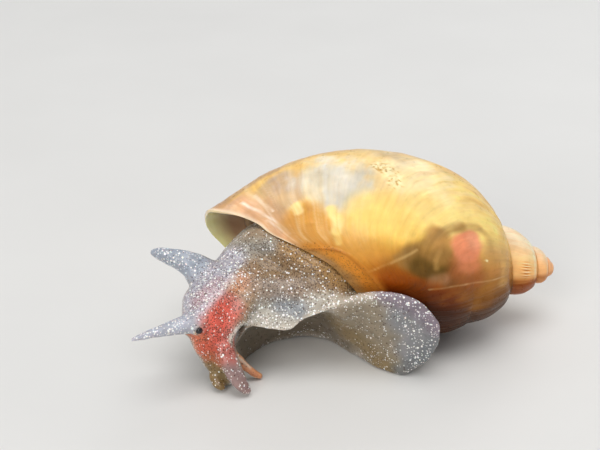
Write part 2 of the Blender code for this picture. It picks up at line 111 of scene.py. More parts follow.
def lineDistance(points, line):  # shortest distance from each point to a broken line
    line = np.asarray(line, float)
    if len(line) == 1:
        return np.linalg.norm(points - line[0], axis=1)
    best = np.full(len(points), 1e9)
    for a, b in zip(line[:-1], line[1:]):
        d = b - a
        t = np.clip((points - a) @ d / max(d @ d, 1e-12), 0, 1)
        best = np.minimum(best, np.linalg.norm(points - a - t[:, None] * d, axis=1))
    return best


def nearLine(points, line, width, soft):  # 1 within this distance of the line, fading to 0
    return ease(1 - (lineDistance(points, line) - width) / soft)


def nearAny(points, lines):  # the strongest of several lines: half width, softness, points
    best = np.zeros(len(points))
    for width, soft, line in lines:
        best = np.maximum(best, nearLine(points, line, width, soft))
    return best


def linear(colour):  # display colour to light
    c = np.asarray(colour, float)
    return np.where(c <= 0.04045, c / 12.92, ((c + 0.055) / 1.055) ** 2.4)


def shown(r, g, b):  # display colour as a socket's value
    return (*linear((r, g, b)), 1)


def laid(colours, tone, share):  # a tone laid over the colours, share 0 to 1 at each point
    s = np.clip(share, 0, 1)[:, None]
    return colours * (1 - s) + np.asarray(tone, float) * s


def meshFrom(name, points, faces):
    mesh = bpy.data.meshes.new(name)
    mesh.from_pydata(np.asarray(points).tolist(), [], [tuple(f) for f in faces])
    mesh.update()
    piece = bpy.data.objects.new(name, mesh)
    bpy.context.scene.collection.objects.link(piece)
    return piece


def readMesh(mesh, fact):  # "co" or "normal" of all vertices, one row each
    flat = np.empty(len(mesh.vertices) * 3)
    mesh.vertices.foreach_get(fact, flat)
    return flat.reshape(-1, 3)


def setPoints(mesh, points):
    mesh.vertices.foreach_set("co", np.asarray(points, float).ravel())
    mesh.update()


def storeColour(mesh, name, colours):
    layer = mesh.color_attributes.new(name, "FLOAT_COLOR", "POINT")
    rgba = np.ones((len(colours), 4))
    rgba[:, :3] = linear(np.clip(colours, 0, 1))
    layer.data.foreach_set("color", rgba.ravel())


def storeValues(mesh, name, values):
    single = np.ndim(values) == 1
    layer = mesh.attributes.new(name, "FLOAT" if single else "FLOAT_VECTOR", "POINT")
    layer.data.foreach_set("value" if single else "vector", np.asarray(values, float).ravel())


def applyModifiers(piece):
    bpy.context.view_layer.update()
    graph = bpy.context.evaluated_depsgraph_get()
    result = bpy.data.meshes.new_from_object(piece.evaluated_get(graph))
    piece.modifiers.clear()
    old = piece.data
    piece.data = result
    bpy.data.meshes.remove(old)


def shadeSmooth(piece):
    piece.data.polygons.foreach_set("use_smooth", [True] * len(piece.data.polygons))


# Material tools
def newMaterial(name, settings):
    mat = bpy.data.materials.new(name)
    mat.use_nodes = True
    tree = mat.node_tree
    shader = tree.nodes["Principled BSDF"]
    for socket, value in settings.items():
        shader.inputs[socket].default_value = value
    return mat, tree, shader


def node(tree, kind, inputs=(), **facts):  # inputs are sockets to link, or plain values
    made = tree.nodes.new(kind)
    for key, value in facts.items():
        setattr(made, key, value)
    for socket, value in dict(inputs).items():
        if hasattr(value, "node"):
            tree.links.new(value, made.inputs[socket])
        else:
            made.inputs[socket].default_value = value
    return made


def mixed(tree, share, first, second, blend="MIX"):  # colour mix; returns its output socket
    inputs = {0: share, 6: first, 7: second}
    return node(tree, "ShaderNodeMix", inputs, data_type="RGBA", blend_type=blend).outputs[2]


def maths(tree, operation, first, second=0.0, clamp=False):
    made = node(tree, "ShaderNodeMath", {0: first, 1: second}, operation=operation, use_clamp=clamp)
    return made.outputs[0]


def ranged(tree, value, low, high, toLow, toHigh):
    made = node(tree, "ShaderNodeMapRange", {"Value": value, "From Min": low, "From Max": high,
                                             "To Min": toLow, "To Max": toHigh})
    return made.outputs["Result"]


def painted(tree, name, output="Color"):
    return node(tree, "ShaderNodeAttribute", attribute_name=name).outputs[output]


def places(tree):
    return node(tree, "ShaderNodeTexCoord").outputs["Object"]


def noise(tree, place, scale, detail, **more):
    inputs = {"Vector": place, "Scale": scale, "Detail": detail, **more}
    return node(tree, "ShaderNodeTexNoise", inputs).outputs["Fac"]


def setBump(tree, shader, height, strength, distance):
    bump = node(tree, "ShaderNodeBump", {"Height": height, "Strength": strength, "Distance": distance})
    tree.links.new(bump.outputs["Normal"], shader.inputs["Normal"])


def specks(tree, place, perMetre, density, size, soft):  # density: the share of cells that hold a speck
    cells = node(tree, "ShaderNodeTexVoronoi", {"Vector": place, "Scale": perMetre}, voronoi_dimensions="3D")
    pick = node(tree, "ShaderNodeSeparateColor", {"Color": cells.outputs["Color"]})
    there = maths(tree, "LESS_THAN", pick.outputs[0], density)
    # each speck is half the size to a little over it
    radius = maths(tree, "MULTIPLY_ADD", pick.outputs[1], size * 0.6)
    radius.node.inputs[2].default_value = size * 0.5
    inside = maths(tree, "SUBTRACT", radius, cells.outputs["Distance"])
    edge = maths(tree, "DIVIDE", inside, soft, clamp=True)
    return maths(tree, "MULTIPLY", there, edge)


# Shell
shellShape = {
    "apex": (8.99, 0.89, 4.0),
    "axis": (0.978, 0.137, -0.160),      # front to apex
    "whorlRatio": 1.78,                  # each turn is this much larger
    "spiralHead": 0.92,                  # spiral centre beyond the blunt tip
    "zeroAngle": 25.0,                   # growth angle at which the profile is measured
    "lastAngle": 118.0,                  # growth angle of the outer lip
    "turns": 4,
    "angleStep": 0.5,
    "arcRows": 32,
    "restRows": 190,
    "wall": 0.2,
    "thinBelow": 0.5,                    # whorls smaller than this share get a thinner wall
    "closedBefore": -420,                # growth angle up to which the inside is never seen
    "shoulderClosed": (-150, 0.3),       # and up to here its shoulder, as angle and share
    "tipRise": 0.1,                      # the blunt tip: its height, rounding, first ring and wall size
    "tipRound": 0.35,
    "tipOpening": 0.12,
    "tipSize": 0.12,
    "domeRows": 5,
    "lineDepth": 0.030,                  # height of the growth lines
    "dentDepth": 0.060,                  # soft hammered look of the last whorl
    "waveDepth": 0.05,                   # broad waves across the last whorl
    "waveSpacing": 34.0,
    "strokeDepth": 0.018,
    "sutureDepth": 0.10,
    "crustHeight": 0.04,
    "mapRadius": 7.0,                    # flattens growth angles to millimetres
}
# whorl from suture to front tip: distance from the axis, distance from the apex
whorlProfile = [
    (2.9, 4.75), (4.38, 5.6), (5.08, 6.36), (6.06, 7.75), (6.67, 9.1), (7.05, 10.45), (7.35, 13.25),
    (7.16, 16.1), (6.36, 18.95), (4.77, 21.8), (2.58, 24.5), (2.15, 25.0),
]
spireProfile = [(2.75, 4.1), (3.5, 4.48), (4.12, 5.15), (4.62, 6.0), (4.84, 6.9), (4.9, 8.0)]
# front edge of the shell: growth angle, distance from the axis, distance from the apex
frontEdge = [
    (-242, 2.2, 10.0), (-200, 2.6, 11.0), (-155, 3.3, 12.4), (-130, 4.2, 13.4), (-107, 4.8, 14.8),
    (-90, 4.65, 16.2), (-78, 4.3, 17.5), (-71, 3.7, 18.7), (-63, 3.0, 19.8), (-54, 2.5, 20.7),
    (-25, 2.1, 22.2), (3, 1.95, 23.5), (35, 2.05, 24.7), (59, 2.5, 25.15), (81, 3.35, 25.2),
    (92, 4.1, 25.1), (104, 5.2, 24.7), (111, 6.3, 24.0), (118, 7.2, 22.9),
]
# raised or sunk lines on the last whorl: height, half width, then points (growth angle, along)
shellRelief = [
    (0.09, 0.3, [(16, 19.1), (0, 19.25), (-15, 19.3), (-30, 19.25), (-42, 18.9)]),
    (-0.07, 0.35, [(16, 18.5), (-10, 18.6), (-30, 18.5)]),
    (0.07, 0.16, [(-67, 18.7), (-65, 17.8), (-65, 17.2), (-69, 16.3), (-78, 15.2), (-88, 14.15),
        (-98, 13.3)]),
    (-0.06, 0.5, [(-70, 18.0), (-78, 16.4), (-88, 15.2)]),
]
growthRidges = [(0.35, 1.7, 3), (0.8, 4.5, 4), (0.9, 13.0, 5)]   # weight, spacing in degrees, seed
# short ribs on the whorl before the last, in growth angles and millimetres
shortRibs = {
    "angles": (-452, -412),
    "fade": 14,
    "fromSuture": 2.9,
    "halfWidth": 0.75,
    "spacing": 5.2,
    "height": 0.07,
}
crustLine = [(-5, 14.3), (-10, 13.6), (-18, 13.4)]
shellApex = np.array(shellShape["apex"])
shellAxis = unit(shellShape["axis"])
ringUp = unit(up - up.dot(shellAxis) * shellAxis)
ringFar = np.cross(ringUp, shellAxis)
whorlStart = shellShape["lastAngle"] - 360   # growth angle at which the last whorl begins


def shellPoint(angle, radius, along):
    a = np.radians(angle)
    ring = np.multiply.outer(np.cos(a), ringUp) + np.multiply.outer(np.sin(a), ringFar)
    return shellApex - np.multiply.outer(along, shellAxis) + np.asarray(radius)[..., None] * ring


def blunt(along):  # keeps the tip blunt
    rise = shellShape["tipRise"]
    soft = shellShape["tipRound"]
    return -rise + soft * np.logaddexp(0.0, (along + rise) / soft)


def splitProfile():  # the profile, cut where the next whorl meets it
    every = 8   # the fine curve is cut first and thinned afterwards
    head = shellShape["spiralHead"]
    rows = np.array(whorlProfile)
    rows[:, 1] += head
    fine = evenCurve(rows, 200 * every)
    meet = (whorlProfile[0][1] + head) * shellShape["whorlRatio"]
    cut = int(np.argmin(np.abs(fine[:, 1] - meet)))
    arc = evenCurve(fine[:cut + 1:every], shellShape["arcRows"])
    arc[-1] = fine[cut]
    rest = evenCurve(fine[cut::every], shellShape["restRows"] + 1)
    rest[0] = fine[cut]
    spire = np.array(spireProfile)
    spire[:, 1] += head
    spire = evenCurve(spire, shellShape["arcRows"])
    spire[-1] = spire[0] * shellShape["whorlRatio"]
    return arc, rest, spire


arcProfile, restProfile, spireArc = splitProfile()


def sizeAt(angle):  # size of the whorl against the measured one
    return shellShape["whorlRatio"] ** ((angle - shellShape["zeroAngle"]) / 360)


def grown(angle):  # 0 where the spire's profile holds, 1 where the last whorl's does
    return fade(angle, shellShape["zeroAngle"] - 360, shellShape["zeroAngle"])


def arcAt(angle):  # shoulder of the whorl, from its suture to where the next whorl meets it
    return sizeAt(angle) * ((1 - grown(angle)) * spireArc + grown(angle) * arcProfile)


def whorlAt(angle):  # the whorl's rows at one growth angle, as (radius, along)
    head = shellShape["spiralHead"]
    arc = arcAt(angle)
    if angle + 360 <= shellShape["lastAngle"]:
        arc = arc + np.linspace(0.0, 1.0, len(arc))[:, None] * (arcAt(angle + 360)[0] - arc[-1])
    tipRadius, tipAlong = keyed(frontEdge, angle)[0]
    rest = sizeAt(angle) * restProfile
    t = np.linspace(0.0, 1.0, len(rest))
    start = arc[-1]
    stretch = (tipAlong + head - start[1]) / (rest[-1, 1] - rest[0, 1])
    out = rest.copy()
    out[:, 1] = start[1] + (rest[:, 1] - rest[0, 1]) * stretch
    out[:, 0] = rest[:, 0] + (start[0] - rest[0, 0]) * (1 - t)**2 + (tipRadius - rest[-1, 0]) * t**3
    return np.vstack([arc, out[1:]]) - (0.0, head)


def growthStage(angle, share):  # the past lip that a point belongs to; share is 0 at the suture, 1 in front
    opened = fade(angle, -107, -82)
    return angle + opened * (shellShape["lastAngle"] - angle) * share**2.2


def ripple(stage, period, seed):  # random ridges that follow the growth lines
    steps = np.random.default_rng(seed).random(6000) * 2 - 1
    x = stage / period + 3000
    i = np.floor(x).astype(int)
    f = ease(x - i)
    return steps[i] * (1 - f) + steps[i + 1] * f


# points of the shell's outer face, their facts (angle, along, stage, share, size) and its faces
def shellSheet():
    step = shellShape["angleStep"]
    last = shellShape["lastAngle"]
    rise = shellShape["tipRise"]
    tipSize = shellShape["tipSize"]
    opening = shellShape["tipOpening"]
    arcs = shellShape["arcRows"]
    turn = int(round(360 / step))
    angles = np.arange(last - 360 * shellShape["turns"], last + step / 2, step)
    count = len(angles)
    body = count - 1 - turn
    points = []
    facts = []
    grid = []
    total = 0
    tips = []
    for i, angle in enumerate(angles):
        rows = whorlAt(angle)
        if i <= turn:  # the first turn grows out of a closed ring
            meet = rows[arcs - 1]
            opened = ease(opening + (1 - opening) * i / turn)
            tips.append(meet + (rows[0] - meet) * opened)
            rows = meet + (rows - meet) * opened
        size = shellShape["whorlRatio"] ** ((angle - last) / 360)
        reach = keyed(frontEdge, angle)[0, 1] - rows[0, 1]
        share = np.clip((rows[:, 1] - rows[0, 1]) / reach, 0, 1)
        stage = growthStage(angle, share) if i >= body else np.full(len(rows), angle)
        own = list(range(len(rows)))
        if i <= body:
            own.remove(arcs - 1)   # that row is the suture of the next whorl
        if i < body:
            own = own[:arcs - 1]
        column = [-1] * len(rows)
        for n, j in enumerate(own):
            column[j] = total + n
        total += len(own)
        grid.append(column)
        points.append(shellPoint(np.full(len(own), angle), rows[own, 0], blunt(rows[own, 1])))
        facts.append(np.column_stack([np.full(len(own), angle), rows[own, 1], stage[own], share[own],
                                      np.full(len(own), size)]))
    points = np.vstack(points)
    facts = np.vstack(facts)
    for i in range(body + 1):
        grid[i][arcs - 1] = grid[i + turn][0]
    faces = []
    for i in range(count - 1):
        rows = arcs - 1 if i < body else len(grid[i + 1]) - 1
        a, b = grid[i], grid[i + 1]
        for j in range(rows):
            faces.append((a[j], a[j + 1], b[j + 1], b[j]))
    # the blunt tip, a small dome over the first turn
    tips = np.array(tips)
    base = blunt(tips[:, 1])
    low = [column[0] for column in grid[:turn + 1]]
    seam = [grid[0][j] for j in range(arcs)]
    firstTurn = angles[:turn + 1]
    for t in np.linspace(0, np.pi / 2, shellShape["domeRows"] + 2)[1:-1]:
        ring = list(range(len(points), len(points) + turn + 1))
        along = base - (base + rise) * np.sin(t)
        points = np.vstack([points, shellPoint(firstTurn, tips[:, 0] * np.cos(t), along)])
        ringFacts = np.column_stack([firstTurn, along, firstTurn, 0 * along, 0 * along + tipSize])
        facts = np.vstack([facts, ringFacts])
        for i in range(turn):
            faces.append((ring[i], low[i], low[i + 1], ring[i + 1]))
        low = ring
        seam = [ring[0]] + seam + [ring[-1]]
    tip = len(points)
    points = np.vstack([points, shellPoint(np.zeros(1), np.zeros(1), np.full(1, -rise))])
    facts = np.vstack([facts, [[angles[0], -rise, angles[0], 0, tipSize]]])
    for i in range(turn):
        faces.append((tip, low[i], low[i + 1]))
    faces.append((tip, *reversed(seam)))
    return points, facts, faces


def shellMap(facts):  # growth angle and along as a flat map in millimetres
    return np.column_stack([np.radians(facts[:, 0]) * shellShape["mapRadius"], facts[:, 1]])


def onShellMap(line):
    return [(np.radians(angle) * shellShape["mapRadius"], along) for angle, along in line]


def ribsAt(angle, fromSuture):  # the short ribs, -1 to 1
    first, last = shortRibs["angles"]
    place = fade(angle, first, first + shortRibs["fade"]) * fade(angle, last, last - shortRibs["fade"])
    place = place * np.exp(-((fromSuture - shortRibs["fromSuture"]) / shortRibs["halfWidth"])**2)
    return place * np.sin(angle * 2 * np.pi / shortRibs["spacing"] + 0.9 * np.sin(angle * 0.31))


def brush(stage, along, wide, long, seed):  # random strokes laid along the growth lines, about -1 to 1
    return lumps(np.column_stack([stage / wide, along / long, np.full(len(along), 3.7 * seed)]), 1.0, 3)


def whorlTop(angle):  # place of the suture along the axis
    top = (1 - grown(angle)) * spireArc[0, 1] + grown(angle) * arcProfile[0, 1]
    return sizeAt(angle) * top - shellShape["spiralHead"]


def crustAt(flat):  # a small rough crust on top of the whorl
    return nearLine(flat, onShellMap(crustLine), 0.25, 0.6)


def shellHeights(facts, points):
    angle, along, stage, share, size = facts.T
    flat = shellMap(facts)
    fromSuture = (along - whorlTop(angle)) / size
    lastWhorl = fade(angle, whorlStart, whorlStart + 30)
    squeeze = 1 - 0.75 * fade(share, 0.6, 1) * fade(angle, 20, -40)
    ridges = sum(weight * ripple(stage, spacing, seed) for weight, spacing, seed in growthRidges)
    height = shellShape["lineDepth"] * size * squeeze * ridges
    dents = lastWhorl * lumps(points, 2.6, 2) * (1 - 0.6 * fade(share, 0.7, 1))
    height += shellShape["dentDepth"] * dents
    height += shellShape["waveDepth"] * lastWhorl * ripple(stage, shellShape["waveSpacing"], 6)
    for rise, width, line in shellRelief:
        height += rise * np.exp(-(lineDistance(flat, onShellMap(line)) / width)**2)
    height += shortRibs["height"] * ribsAt(angle, fromSuture)
    height += shellShape["crustHeight"] * crustAt(flat) * lumps(points, 0.17, 2)
    height += shellShape["strokeDepth"] * lastWhorl * brush(stage, along, 2.2, 2.6, 1) * squeeze
    height -= shellShape["sutureDepth"] * size * np.exp(-(fromSuture / 0.35)**2) * (1 - lastWhorl)
    height *= fade(size, 0, 0.25)
    return height - 0.02   # the relief stays about level with the CAD face


shellTones = {
    "horn": (0.98, 0.80, 0.46),
    "farMantle": (0.80, 0.60, 0.36),
    "underside": (0.55, 0.36, 0.15),
    "brownStroke": (0.78, 0.56, 0.36),
    "creamStroke": (0.99, 0.92, 0.80),
    "paleHair": (1.00, 0.95, 0.88),
    "brownHair": (0.74, 0.52, 0.30),
    "lipEdgeAndHighlight": (0.98, 0.88, 0.76),
    "film": (0.58, 0.44, 0.27),
    # spire tones: cream where the top is lit, orange and dark brown as painted shade lower down
    "spireTopCreamLit": (1.00, 0.90, 0.75),
    "spireLowOrangeShade": (1.00, 0.76, 0.48),
    "spireUnderShade": (0.58, 0.28, 0.05),
    "spireStroke": (0.95, 0.72, 0.46),
    "suture": (0.84, 0.53, 0.24),
    "shoulder": (1.00, 0.95, 0.84),
    "crustDark": (0.72, 0.52, 0.24),
    "crustPale": (1.00, 0.95, 0.76),
    "ribPale": (1.00, 0.93, 0.80),
    "ribDark": (0.74, 0.44, 0.18),
    "tip": (0.95, 0.70, 0.50),
}
# tones seen through the shell below its shoulder, darkening towards the underside partly as painted shade:
# growth angle, then colour, for three bands of the whorl
undertonesAndShade = {
    "lipSide": [
        (-46, 0.97, 0.78, 0.44), (-56, 0.92, 0.7, 0.37), (-66, 0.89, 0.63, 0.28),
        (-75, 0.87, 0.59, 0.22), (-86, 0.81, 0.51, 0.17), (-95, 0.68, 0.4, 0.14),
        (-110, 0.5, 0.26, 0.08), (-242, 0.6, 0.42, 0.2),
    ],
    "belly": [
        (-40, 0.99, 0.84, 0.47), (-49, 0.98, 0.8, 0.4), (-56, 0.93, 0.7, 0.29),
        (-62, 0.82, 0.59, 0.24), (-69, 0.73, 0.48, 0.19), (-75, 0.63, 0.34, 0.07),
        (-84, 0.55, 0.25, 0.02), (-92, 0.39, 0.14, 0.01), (-102, 0.27, 0.09, 0.005),
        (-122, 0.28, 0.12, 0.01), (-150, 0.38, 0.2, 0.04), (-242, 0.6, 0.42, 0.2),
    ],
    "spireSide": [
        (-38, 0.98, 0.83, 0.5), (-46, 0.93, 0.77, 0.48), (-53, 0.87, 0.68, 0.42),
        (-62, 0.82, 0.62, 0.35), (-72, 0.74, 0.51, 0.26), (-84, 0.65, 0.43, 0.18),
        (-98, 0.47, 0.28, 0.07), (-113, 0.33, 0.18, 0.03), (-130, 0.28, 0.14, 0.02),
        (-160, 0.4, 0.24, 0.07), (-242, 0.62, 0.44, 0.22),
    ],
}
# marks painted on the shell: tone, strength, patchiness, half width, softness, points (growth angle, along)
shellMarks = [
    # broad cream glare on the upper middle of the last whorl: painted highlight
    ((1.0, 0.93, 0.74), 0.85, 0.2, 1.5, 2.2, [(-10, 12.0), (-21, 11.0), (-29, 9.8)]),
    ((1.0, 0.86, 0.51), 0.9, 0.1, 1.0, 1.8, [(-12, 8.6), (-22, 7.4), (-30, 6.2), (-38, 6.6), (-40, 8.4)]),
    ((0.86, 0.69, 0.44), 0.85, 0.2, 1.1, 1.5, [(52, 24.0), (42, 21.0), (36, 17.0), (30, 13.0),
        (28, 9.0)]),
    ((0.93, 0.82, 0.6), 0.7, 0.3, 0.5, 1.0, [(12, 15.4), (16, 13.6)]),
    ((0.72, 0.6, 0.42), 0.7, 0.5, 0.2, 0.9, [(11, 13.5), (4, 12.4)]),
    # along the lip
    ((0.79, 0.61, 0.39), 0.85, 0.1, 0.7, 1.2, [(64, 24.6), (46, 23.4), (40, 21.0)]),
    ((0.74, 0.53, 0.35), 0.85, 0.1, 0.3, 0.8, [(80, 25.0), (60, 25.0), (40, 24.8), (24, 24.3)]),
    ((0.89, 0.69, 0.55), 0.9, 0.1, 0.5, 0.9, [(24, 23.8), (-2, 22.8), (-32, 21.3), (-51, 19.9),
        (-64, 19.0)]),
    ((0.78, 0.68, 0.62), 0.85, 0.3, 0.6, 1.1, [(12, 21.0), (-4, 20.7), (-16, 20.4)]),
    ((0.8, 0.63, 0.46), 0.85, 0.2, 0.1, 0.65, [(-6, 21.8), (-17, 21.3), (-28, 20.7), (-41, 20.0),
        (-48, 19.4)]),
    # thin white lines along the lip: pale streaks of the shell, partly painted highlights
    ((1.0, 0.93, 0.86), 0.8, 0.5, 0.02, 0.13, [(16, 23.2), (2, 22.7), (-18, 21.8), (-36, 20.8),
        (-50, 20.0)]),
    ((1.0, 0.93, 0.86), 0.7, 0.6, 0.02, 0.13, [(12, 22.3), (-4, 21.9), (-20, 21.2)]),
    ((1.0, 0.92, 0.84), 0.6, 0.5, 0.02, 0.12, [(-26, 21.6), (-44, 20.6), (-60, 19.5)]),
    # pale cloud before the rib: mostly a painted sky reflection, with painted white highlights
    ((0.89, 0.85, 0.76), 0.9, 0.2, 0.9, 1.3, [(-4, 18.3), (-14, 17.7), (-26, 17.1)]),
    ((0.87, 0.84, 0.78), 0.75, 0.6, 0.1, 1.9, [(-20, 16.3), (-7, 15.3)]),
    ((0.8, 0.79, 0.76), 0.75, 0.5, 0.3, 2.1, [(-6, 18.1), (-18, 17.3), (-28, 17.0), (-20, 15.8)]),
    ((0.99, 0.96, 0.91), 0.75, 0.7, 0.3, 1.2, [(14, 17.9), (6, 17.6), (3, 16.6)]),
    ((0.97, 0.92, 0.83), 0.5, 0.9, 0.4, 1.2, [(2, 19.7), (-8, 18.8), (-16, 16.8)]),
    # orange towards the lip and its yellow patches
    ((0.85, 0.6, 0.28), 0.95, 0.1, 0.7, 1.2, [(-36, 19.3), (-49, 18.6), (-60, 18.0)]),
    ((1.0, 0.88, 0.56), 0.95, 0.1, 0.14, 0.34, [(-34, 17.6), (-39, 17.45), (-44, 17.05), (-52, 17.2)]),
    ((1.0, 0.9, 0.6), 0.9, 0.1, 0.1, 0.3, [(-41, 17.2), (-47, 17.1)]),
    ((1.0, 0.86, 0.5), 0.8, 0.3, 0.08, 0.28, [(-50, 17.3), (-60, 17.0)]),
    ((1.0, 0.88, 0.58), 0.95, 0.1, 0.16, 0.34, [(-24, 19.8), (-31, 19.6)]),
    ((0.99, 0.84, 0.48), 0.8, 0.2, 1.1, 1.4, [(-38, 15.0), (-44, 13.2), (-40, 11.6)]),
    # seen through the shell: the olive gland and the salmon one
    ((0.64, 0.48, 0.26), 0.85, 0.4, 0.3, 0.9, [(-66, 12.6), (-61, 11.2), (-58, 10.5)]),
    ((0.76, 0.56, 0.31), 0.9, 0.1, 0.4, 0.8, [(-52, 10.6), (-56, 10.0), (-61, 9.8)]),
    ((0.52, 0.38, 0.19), 0.85, 0.2, 0.5, 1.0, [(-66, 12.0), (-68, 11.0), (-67, 10.0), (-72, 9.2),
        (-76, 8.6)]),
    ((0.36, 0.26, 0.09), 0.92, 0.2, 0.35, 0.7, [(-70, 11.7), (-73, 11.0), (-74, 10.2), (-73, 9.5),
        (-77, 9.1)]),
    ((0.74, 0.57, 0.32), 0.6, 0.3, 0.04, 0.34, [(-61, 10.3), (-66, 10.5), (-71, 10.4)]),
    ((0.53, 0.3, 0.14), 0.75, 0.3, 0.4, 0.9, [(-79, 9.0), (-84, 8.4), (-82, 7.6)]),
    ((0.66, 0.38, 0.2), 0.8, 0.2, 0.45, 1.0, [(-68, 8.6), (-73, 8.0), (-76, 7.6)]),
    ((0.82, 0.5, 0.34), 0.9, 0.1, 0.5, 0.8, [(-62, 8.3), (-67, 8.0)]),
    ((0.93, 0.57, 0.41), 0.95, 0.0, 0.85, 0.5, [(-54.5, 8.35), (-57.5, 8.2)]),
    ((0.94, 0.59, 0.43), 0.9, 0.0, 0.55, 0.45, [(-49.5, 8.15), (-53, 8.2)]),
    # painted highlight on the top of the salmon gland
    ((0.98, 0.67, 0.52), 0.7, 0.1, 0.2, 0.7, [(-49, 7.9), (-54, 7.6)]),
    ((0.72, 0.53, 0.4), 0.6, 0.2, 0.1, 0.8, [(-79, 10.3), (-78, 9.7)]),
    ((0.46, 0.24, 0.1), 0.6, 0.7, 0.5, 0.9, [(-87, 11.2), (-92, 9.4), (-90, 7.8)]),
    ((0.66, 0.44, 0.18), 0.5, 0.8, 0.5, 0.9, [(-94, 8.6), (-90, 6.4), (-102, 6.4)]),
    ((0.58, 0.44, 0.25), 0.45, 0.3, 0.02, 0.34, [(-66, 13.3), (-62, 12.7), (-56, 11.5)]),
    ((0.6, 0.45, 0.25), 0.7, 0.3, 0.1, 0.5, [(-57, 11.3), (-52, 10.6), (-46, 9.7), (-42, 8.8)]),
    ((0.66, 0.5, 0.28), 0.5, 0.3, 0.1, 0.5, [(-43, 8.9), (-41, 8.3), (-40, 7.5)]),
    ((0.7, 0.54, 0.32), 0.4, 0.3, 0.05, 0.45, [(-41, 7.2), (-45, 6.6), (-54, 6.3)]),
    ((0.92, 0.74, 0.44), 0.7, 0.4, 0.15, 0.5, [(-30, 4.9), (-50, 5.1), (-70, 4.9), (-84, 4.9)]),
    ((0.95, 0.84, 0.66), 0.6, 0.6, 0.02, 0.11, [(-86, 10.6), (-84, 9.5), (-81, 7.7), (-77, 4.9)]),
    ((0.96, 0.82, 0.56), 0.42, 0.6, 0.02, 0.15, [(-80, 14.9), (-68, 13.2), (-61, 12.0)]),
    ((1.0, 0.93, 0.68), 0.6, 0.6, 0.25, 0.6, [(-6, 14.2), (-14, 13.3)]),
    # the clear film at the inner end of the lip, with its arc
    ((0.84, 0.54, 0.19), 0.9, 0.2, 0.7, 0.8, [(-68, 18.2), (-76, 16.9), (-84, 15.7), (-96, 14.5)]),
    ((0.68, 0.49, 0.27), 0.9, 0.3, 0.2, 0.8, [(-72, 18.6), (-80, 17.4), (-88, 16.4), (-98, 15.4),
        (-108, 14.8)]),
    ((0.7, 0.42, 0.14), 0.7, 0.3, 0.03, 0.2, [(-67, 18.7), (-65, 17.8), (-65, 17.2), (-69, 16.3),
        (-78, 15.2), (-88, 14.15), (-98, 13.3)]),
    ((1.0, 0.94, 0.72), 1.0, 0.0, 0.06, 0.1, [(-63.7, 6.62)]),
]


def seenThroughAndShade(angle, along):  # the animal behind the near side and the underside, band by band, with painted shade towards the underside
    lipSide, belly, spireSide = (keyed(rows[::-1], angle) for rows in undertonesAndShade.values())
    seen = laid(belly, lipSide, fade(along, 13.4, 16))
    return laid(seen, spireSide, fade(along, 8.9, 6.5))


